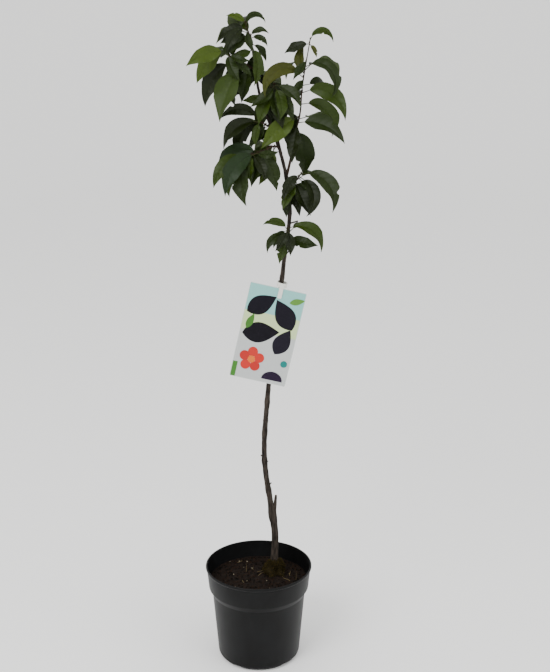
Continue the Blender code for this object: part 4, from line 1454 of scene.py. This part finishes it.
@dataclass
class Bed:
    """The compost with its crumbs and straw, and the moss round the trunk's foot."""

    # Surface: its mesh, its skirt down the wall, its least radius in the middle, its fall towards
    # the wall, and its humps and grit, each with a height and a number to the metre.
    sides: int = 150
    rings: int = 46
    skirt: float = 0.03
    skirt_gap: float = 0.0012
    skirt_top: float = 0.010
    collar_flare: float = 0.0008
    wall_gap: float = 2.2 * FIT_GAP
    eye: float = 0.0004
    sink: float = 0.0006
    fall: float = 0.003
    fall_radius: float = 0.094
    humps: tuple = (0.0011, 90)
    grit: tuple = (0.0006, 320)

    # Crumbs: sizes in millimetres, unevenness, and how many are dark, brown and pale.
    crumbs: int = 1500
    crumb_sizes: tuple = (0.5, 2.2)
    crumb_shares: tuple = (0.6, 1.3)
    crumb_mix: tuple = (62, 36, 1.2)
    crumb_margin: float = 0.004
    crumb_rise: float = 0.3

    # Straw, lying and upright; lengths in millimetres.
    straws: int = 12
    straw_place: float = 0.078
    straw_lengths: tuple = (9, 26)
    straw_bend: float = 0.2
    straw_rise: float = 0.0014
    straw_radius: float = 0.00045
    straw_rings: int = 6
    straw_sides: int = 6
    upright_radius: float = 0.0005
    upright_lean: float = 0.0015
    upright_sink: float = 0.002

    # Moss: the cushion's mesh, its share of its node's box, how its dome closes, how lumpy it is
    # round and upwards, and its tufts, with lengths in millimetres.
    moss_rings: int = 30
    moss_sides: int = 64
    moss_wide: float = 0.90
    moss_tall: float = 0.84
    moss_dome: float = 0.62
    moss_least: float = 0.0006
    moss_lumps: tuple = (0.42, 1.7, 2.4)
    tufts: int = 2200
    tuft_rings: int = 26
    tuft_strays: tuple = ((-0.5, 0.5), (-0.5, 0.5), (-0.2, 0.5))
    tuft_lengths: tuple = (1.2, 3.2)
    tuft_radii: tuple = (0.0005, 0.0004, 0.0001)

    def height(self, x: float, y: float) -> float:
        """Give the height of the compost's surface.

        Args:
            x: The place across.
            y: The place in depth.

        Returns:
            The height in metres.
        """
        fall = self.fall * (math.hypot(x, y) / self.fall_radius) ** 3
        (hump, wide), (grit, fine) = self.humps, self.grit
        return (COMPOST_TOP - self.sink - fall
                + hump * noise.noise(Vector((x * wide, y * wide, 0)))
                + grit * noise.noise(Vector((x * fine, y * fine, 3))))

    def edge(self) -> float:
        """Give the radius of the surface inside the pot's wall."""
        return POT_COLLAR_FOOT_RADIUS + self.collar_flare - POT_WALL - self.wall_gap

    def build_surface(self) -> None:
        """Build the rough surface with a skirt down the pot's wall."""
        inner = POT_BODY_RADIUS - POT_WALL - self.skirt_gap
        rings = [circle(inner, low, self.sides)
                 for low in (COMPOST_TOP - self.skirt, POT_COLLAR_FOOT - self.skirt_top)]
        for k in range(self.rings):
            radius = self.edge() * (1.0 - k / self.rings) + self.eye
            rings.append([(x, y, self.height(x, y))
                          for x, y, _ in circle(radius, 0.0, self.sides)])
        surface = make_object("compost_surface", *loft(rings), [COMPOST_DARK])
        settle(surface, "compost_brown", "compost")

    def lump(self, heap: Heap, spot: Vector, size: float, index: int, draw: random.Random) -> None:
        """Add one crumb: a small uneven eight-faced lump.

        Args:
            heap: Where the crumbs gather.
            spot: Its middle.
            size: Its radius in metres.
            index: Its material slot.
            draw: The source of chance.
        """
        corners = [(1, 0, 0), (0, 1, 0), (-1, 0, 0), (0, -1, 0), (0, 0, 1), (0, 0, -1)]
        points = [Vector(c) * size * draw.uniform(*self.crumb_shares) + spot for c in corners]
        faces = [(k, (k + 1) % 4, 4) for k in range(4)] + [((k + 1) % 4, k, 5) for k in range(4)]
        heap.add(points, faces, index)

    def build_crumbs(self) -> None:
        """Scatter crumbs and a few pale bits over the surface."""
        draw = random.Random(SEED)
        heap = Heap()
        for _ in range(self.crumbs):
            radius = (self.edge() - self.crumb_margin) * math.sqrt(draw.random())
            angle = draw.uniform(0, math.tau)
            x, y = radius * math.cos(angle), radius * math.sin(angle)
            index = draw.choices((0, 1, 2), self.crumb_mix)[0]
            size = draw.uniform(*self.crumb_sizes) * MM
            spot = Vector((x, y, self.height(x, y) + size * self.crumb_rise))
            self.lump(heap, spot, size, index, draw)
        settle(heap.make("compost_crumbs", [CRUMB_DARK, CRUMB_BROWN, CRUMB_PALE], False),
               "compost_brown")

    def build_straw(self) -> None:
        """Lay dry stalks on the compost and stand a few in it."""
        draw = random.Random(SEED + 1)
        heap = Heap()
        for _ in range(self.straws):
            radius = self.straw_place * math.sqrt(draw.random())
            angle = draw.uniform(0, math.tau)
            turn = draw.uniform(0, math.tau)
            length = draw.uniform(*self.straw_lengths) * MM
            rows = []
            for t in np.linspace(-0.5, 0.5, self.straw_rings):
                bend = turn + self.straw_bend * t
                x = radius * math.cos(angle) + length * t * math.cos(bend)
                y = radius * math.sin(angle) + length * t * math.sin(bend)
                rows.append((x, y, self.height(x, y) + self.straw_rise, self.straw_radius))
            heap.add(*tube(np.array(rows), self.straw_sides))
        for x, y, tall in UPRIGHT_STRAWS:
            foot = self.height(x, y) - self.upright_sink
            rows = [(x + self.upright_lean * t * t, y, foot + tall * t,
                     self.upright_radius * (1.1 - t))
                    for t in np.linspace(0.0, 1.0, self.straw_rings)]
            heap.add(*tube(np.array(rows), self.straw_sides))
        settle(heap.make("straw_bits", [STRAW]), "compost_brown")

    def build_moss(self) -> None:
        """Heap the moss cushion and cover it with short tufts."""
        draw = random.Random(SEED + 2)
        middle = (MOSS_LOW + MOSS_HIGH) / 2
        foot = Vector((middle.x, middle.y, MOSS_LOW.z))
        radius = (MOSS_HIGH.x - MOSS_LOW.x) / 2
        tall = MOSS_HIGH.z - MOSS_LOW.z
        depth, round_about, upward = self.moss_lumps
        rings = []
        for k in range(self.moss_rings + 1):
            climb = k / self.moss_rings
            share = (1.0 - climb) ** self.moss_dome
            ring = []
            for a in turns(self.moss_sides):
                lump = 1.0 + depth * noise.noise(Vector((math.cos(a) * round_about,
                                                         math.sin(a) * round_about,
                                                         climb * upward)))
                reach = max(self.moss_least, radius * self.moss_wide * share * lump)
                rise = tall * self.moss_tall * math.sin(climb * math.pi / 2) * lump ** 0.5
                ring.append((foot.x + reach * math.cos(a), foot.y + reach * math.sin(a),
                             foot.z + rise))
            rings.append(ring)
        cushion = make_object("moss_cushion", *loft(rings), [MOSS_OLIVE])
        settle(cushion, "moss_olive", "moss_mound")
        spots = [spot for ring in rings[:self.tuft_rings] for spot in ring]
        heap = Heap()
        for _ in range(self.tufts):
            spot = Vector(draw.choice(spots))
            out = (spot - foot).normalized()
            stray = Vector([draw.uniform(*span) for span in self.tuft_strays])
            tip = spot + (out + stray) * draw.uniform(*self.tuft_lengths) * MM
            rows = [(*point, thick)
                    for point, thick in zip((spot, (spot + tip) / 2, tip), self.tuft_radii)]
            heap.add(*tube(np.array(rows), 4), draw.choice((0, 0, 1)))
        settle(heap.make("moss_tufts", [MOSS_OLIVE, MOSS_TIP], False), "moss_olive")

    def build(self) -> None:
        """Build everything that lies in the pot."""
        self.build_surface()
        self.build_crumbs()
        self.build_straw()
        self.build_moss()


class Form(Enum):
    """The plain forms that the card's picture is made of."""

    DISC = "disc"
    HALF = "half"
    LEAF = "leaf"
    BAND = "band"


@dataclass(frozen=True)
class Mark:
    """One form of the picture: colour, middle and size in millimetres, and turn in degrees."""

    form: Form
    colour: str
    x: float
    z: float
    wide: float
    high: float
    turn: float = 0.0


# The picture from back to front: sky, lawn and paving, dark leaves, green leaves, a blossom and
# plain marks near the card's foot.
MARKS = (
    Mark(Form.BAND, "#7fb3ae", 0, 64, 108, 62),
    Mark(Form.BAND, "#b4c494", 0, 12, 108, 56),
    Mark(Form.BAND, "#aeb1b0", 0, -46, 108, 96),
    Mark(Form.LEAF, "#0d0b14", -24, 56, 62, 36, 38),
    Mark(Form.LEAF, "#100e17", 22, 44, 66, 38, 128),
    Mark(Form.LEAF, "#0b0911", -14, 2, 70, 40, 12),
    Mark(Form.LEAF, "#14111c", 30, -8, 56, 32, 70),
    Mark(Form.LEAF, "#3f6a2c", -38, 20, 32, 13, 74),
    Mark(Form.LEAF, "#557f38", 40, 74, 30, 12, 20),
    Mark(Form.DISC, "#b23029", -20, -38, 19, 19),
    Mark(Form.DISC, "#b23029", -6, -48, 19, 19),
    Mark(Form.DISC, "#a82a26", -11, -65, 19, 19),
    Mark(Form.DISC, "#b23029", -29, -65, 19, 19),
    Mark(Form.DISC, "#a82a26", -34, -48, 19, 19),
    Mark(Form.DISC, "#c8682c", -20, -53, 14, 14),
    Mark(Form.BAND, "#3d6f2c", -49, -78, 10, 30),
    Mark(Form.DISC, "#1d6f6a", 42, -50, 13, 13),
    Mark(Form.HALF, "#1d1226", 26, -86, 40, 34),
)


@dataclass
class Card:
    """The hanging card, its picture and the strap that holds it to the trunk."""

    # The picture: the step from mark to mark, where their backs lie and how far they stay off the
    # card's edge.
    layer: float = 0.00004
    layer_back: float = 0.00001
    margin: float = 0.0012

    # The strap: its place above the card, its slack behind the trunk, how square its loop is, and
    # its tab.
    strap_rise: float = 0.0012
    strap_above: float = 0.006
    strap_slack: float = 0.0004
    strap_square: float = 0.7
    strap_sides: int = 72
    tab_over_band: float = 0.75
    tab_corner: float = 0.0018
    tab_thickness: float = 0.0003

    def axes(self) -> tuple[np.ndarray, np.ndarray]:
        """Give the directions across and up the card.

        Returns:
            Both directions, of length one.
        """
        tilt = math.radians(CARD_TILT)
        return (np.array((math.cos(tilt), 0.0, -math.sin(tilt))),
                np.array((math.sin(tilt), 0.0, math.cos(tilt))))

    def rounded(self, wide: float, high: float, corner: float) -> list[tuple[float, float]]:
        """Trace a rectangle with round corners.

        Args:
            wide: Its width.
            high: Its height.
            corner: Its corners' radius.

        Returns:
            Its points across and up.
        """
        outline = []
        for k, (sx, sz) in enumerate(((1, 1), (-1, 1), (-1, -1), (1, -1))):
            for a in np.linspace(k * math.pi / 2, (k + 1) * math.pi / 2, 7):
                outline.append((sx * (wide / 2 - corner) + corner * math.cos(a),
                                sz * (high / 2 - corner) + corner * math.sin(a)))
        return outline

    def outline(self, mark: Mark) -> list[tuple[float, float]]:
        """Trace a mark on the card.

        Args:
            mark: The mark.

        Returns:
            Its points across and up in metres, cut to the card's face.
        """
        if mark.form is Form.BAND:
            shape = [(-0.5, -0.5), (0.5, -0.5), (0.5, 0.5), (-0.5, 0.5)]
        elif mark.form is Form.HALF:
            shape = [(0.5 * math.cos(a), 0.5 * math.sin(a)) for a in np.linspace(0, math.pi, 25)]
        elif mark.form is Form.LEAF:
            along = np.linspace(0, 1, 15)
            upper = [(t - 0.5, 0.5 * math.sin(math.pi * t ** 0.8)) for t in along]
            shape = upper + [(x, -z) for x, z in reversed(upper[1:-1])]
        else:
            shape = [(0.5 * math.cos(a), 0.5 * math.sin(a))
                     for a in np.linspace(0, math.tau, 41)[:-1]]
        turn = math.radians(mark.turn)
        placed = []
        for x, z in shape:
            x, z = x * mark.wide, z * mark.high
            placed.append(((mark.x + x * math.cos(turn) - z * math.sin(turn)) * MM,
                           (mark.z + x * math.sin(turn) + z * math.cos(turn)) * MM))
        return self.clip(placed)

    def clip(self, outline: list[tuple[float, float]]) -> list[tuple[float, float]]:
        """Cut an outline to the card's face, a little inside its edge.

        Args:
            outline: Its points across and up.

        Returns:
            What is left of it.
        """
        limits = [(axis, sign, size / 2 - self.margin)
                  for axis, size in enumerate((CARD_WIDTH, CARD_HEIGHT)) for sign in (1, -1)]
        for axis, sign, limit in limits:
            kept = []
            for here, after in zip(outline, outline[1:] + outline[:1]):
                inside = sign * here[axis] <= limit
                if inside:
                    kept.append(here)
                if inside != (sign * after[axis] <= limit):
                    t = (sign * limit - here[axis]) / (after[axis] - here[axis])
                    kept.append((here[0] + t * (after[0] - here[0]),
                                 here[1] + t * (after[1] - here[1])))
            outline = kept
        return outline

    def plate(self, heap: Heap, spot: np.ndarray, outline: list, depths: tuple,
              index: int = 0) -> None:
        """Add a thin plate that lies as the card does.

        Args:
            heap: Where the plates gather.
            spot: The place that the outline and the depths are told from.
            outline: Its points across and up.
            depths: Where its front and its back lie.
            index: Its material slot.
        """
        across, up = self.axes()
        rings = [[spot + across * x + up * z + np.array((0, depth, 0)) for x, z in outline]
                 for depth in depths]
        heap.add(*loft(rings), index)

    def build(self) -> None:
        """Build the card, its picture and its strap."""
        centre = np.array(CARD_CENTRE)
        face = -CARD_THICKNESS / 2
        body = Heap()
        self.plate(body, centre, self.rounded(CARD_WIDTH, CARD_HEIGHT, CARD_CORNER), (face, -face))
        settle(body.make("card_body", [CARD_WHITE], False), "card_print", "picture_card")
        picture = Heap()
        colours = sorted({mark.colour for mark in MARKS})
        finishes = [Finish("print_" + colour[1:], colour, 0.36, gloss=0.12) for colour in colours]
        for order, mark in enumerate(MARKS):
            depths = (face - self.layer * (order + 1), face - self.layer_back)
            self.plate(picture, centre, self.outline(mark), depths, colours.index(mark.colour))
        settle(picture.make("card_picture", finishes, False), "card_print")
        self.build_strap()

    def squared(self, wave: float) -> float:
        """Push a sine or cosine outward, so that the strap's loop is squarer than an ellipse."""
        return math.copysign(abs(wave) ** self.strap_square, wave)

    def build_strap(self) -> None:
        """Loop the strap round the trunk and bring its tab down the card's face."""
        across, up = self.axes()
        trunk = trunk_way()
        top = np.array(CARD_CENTRE) + up * (CARD_HEIGHT / 2)
        row = trunk[np.argmin(np.abs(trunk[:, 2] - top[2] - self.strap_above))]
        slide = (row[0] - top[0]) / across[0]
        front = top + across * slide + np.array((0, -CARD_THICKNESS / 2 - FIT_GAP, 0))
        back_y = row[1] + row[3] + FIT_GAP + self.strap_slack
        half_depth = (back_y - front[1]) / 2
        low, high = self.strap_rise, self.strap_rise + STRAP_WIDTH
        rings = []
        for out, rise in ((0.0, low), (STRAP_THICKNESS, low), (STRAP_THICKNESS, high), (0.0, high)):
            ring = []
            for a in turns(self.strap_sides):
                wide = (STRAP_HALF_SPAN + out) * self.squared(math.cos(a))
                deep = (half_depth + out) * self.squared(math.sin(a))
                ring.append(front + across * wide + up * rise + np.array((0, half_depth + deep, 0)))
            rings.append(ring)
        faces = []
        for band in range(len(rings)):
            here, over = (row * self.strap_sides for row in (band, (band + 1) % len(rings)))
            for k in range(self.strap_sides):
                after = (k + 1) % self.strap_sides
                faces.append((here + k, here + after, over + after, over + k))
        heap = Heap()
        heap.add([point for ring in rings for point in ring], faces)
        tab = STRAP_TAB + self.strap_rise + STRAP_WIDTH * self.tab_over_band
        outline = [(x, z + tab / 2 - STRAP_TAB)
                   for x, z in self.rounded(STRAP_WIDTH, tab, self.tab_corner)]
        depths = (-STRAP_THICKNESS, -STRAP_THICKNESS + self.tab_thickness)
        self.plate(heap, front, outline, depths)
        settle(heap.make("strap_band", [STRAP_WHITE]), "strap_white", "card_strap")


@dataclass
class Studio:
    """The pale floor, the soft lights and the camera at the photograph's viewing angle."""

    pitch: float = 15.9
    place: tuple = (0.0325, -1.98, 1.228)
    focal_px: float = 1100.0
    frame_px: float = 672.0
    sensor_mm: float = 36.0
    room_light: float = 1.3
    lamp_aim: tuple = (0, 0, 0.7)

    # The floor: its flat radius, the bend up into the wall, how steep that ends, and the wall's top.
    floor_radius: float = 6.0
    floor_bend: float = 2.5
    floor_slope: float = 80.0
    floor_rings: int = 14
    floor_sides: int = 120
    wall_top: tuple = (8.7, 3.4)

    def lamp(self, name: str, place: tuple, size: float, power: float) -> None:
        """Hang one soft square lamp that faces the tree.

        Args:
            name: Its name.
            place: Where it hangs.
            size: Its side in metres.
            power: Its power in watts.
        """
        lamp = bpy.data.lights.new(name, "AREA")
        lamp.size = size
        lamp.energy = power
        thing = link(name, lamp)
        thing.location = place
        away = Vector(place) - Vector(self.lamp_aim)
        thing.rotation_euler = away.to_track_quat("Z", "Y").to_euler()

    def bowl(self) -> Skin:
        """Lay a round floor that rises smoothly into a low wall all round.

        Returns:
            Points and faces.
        """
        profile = [(self.floor_radius + self.floor_bend * math.sin(a),
                    self.floor_bend - self.floor_bend * math.cos(a))
                   for a in np.linspace(0.0, math.radians(self.floor_slope), self.floor_rings)]
        profile.append(self.wall_top)
        points, faces = loft([circle(r, z, self.floor_sides) for r, z in profile])
        faces.pop()
        return points, faces

    def build(self) -> None:
        """Set the floor, lights, surroundings and camera."""
        floor = make_object("pale_floor", *self.bowl(), [Finish("floor_pale", "#fbfbfa", 0.9)])
        world = bpy.data.worlds.new("soft_room")
        world.use_nodes = True
        backdrop = world.node_tree.nodes["Background"]
        backdrop.inputs["Color"].default_value = (1, 1, 1, 1)
        backdrop.inputs["Strength"].default_value = self.room_light
        bpy.context.scene.world = world
        self.lamp("key", (-1.6, -2.2, 2.8), 1.8, 85.0)
        self.lamp("fill", (2.2, -1.6, 1.6), 2.0, 22.0)
        camera = bpy.data.cameras.new("photo_camera")
        camera.sensor_width = self.sensor_mm
        camera.lens = self.focal_px / self.frame_px * self.sensor_mm
        thing = link("photo_camera", camera)
        thing.location = self.place
        thing.rotation_euler = (math.pi / 2 - math.radians(self.pitch), 0.0, 0.0)
        bpy.context.scene.camera = thing


def grow_crown() -> Crown:
    """Grow the crown by the rule of the part's source.

    Returns:
        The crown with every leaf placed.
    """
    limbs = [tube(trunk_way(FIT_GAP * 2), TRUNK_SIDES),
             tube(bough_way() + np.array((0, 0, 0, FIT_GAP * 2)), BOUGH_SIDES)]
    crown = Crown(limbs)
    draw = random.Random(SEED)
    for mass in MASSES:
        crown.place_sprays(mass, draw)
    for mass in MASSES:
        crown.place_behind(mass, draw)
    before = sum(len(leaves) for leaves in crown.grown.values())
    inner = random.Random(SEED + 3)
    for mass in MASSES:
        crown.place_inner(mass, inner)
    after = sum(len(leaves) for leaves in crown.grown.values())
    LOG.info("leaves: %d as in the source, %d more close to the trunk", before, after - before)
    return crown


def main() -> None:
    """Build every piece in order."""
    logging.basicConfig(level=logging.INFO, format="%(message)s")
    Pot().build()
    Bed().build()
    Wood().build()
    Card().build()
    crown = grow_crown()
    for mass in MASSES:
        Foliage(mass, crown.grown[mass.name]).build()
    Studio().build()


if __name__ == "__main__":
    main()
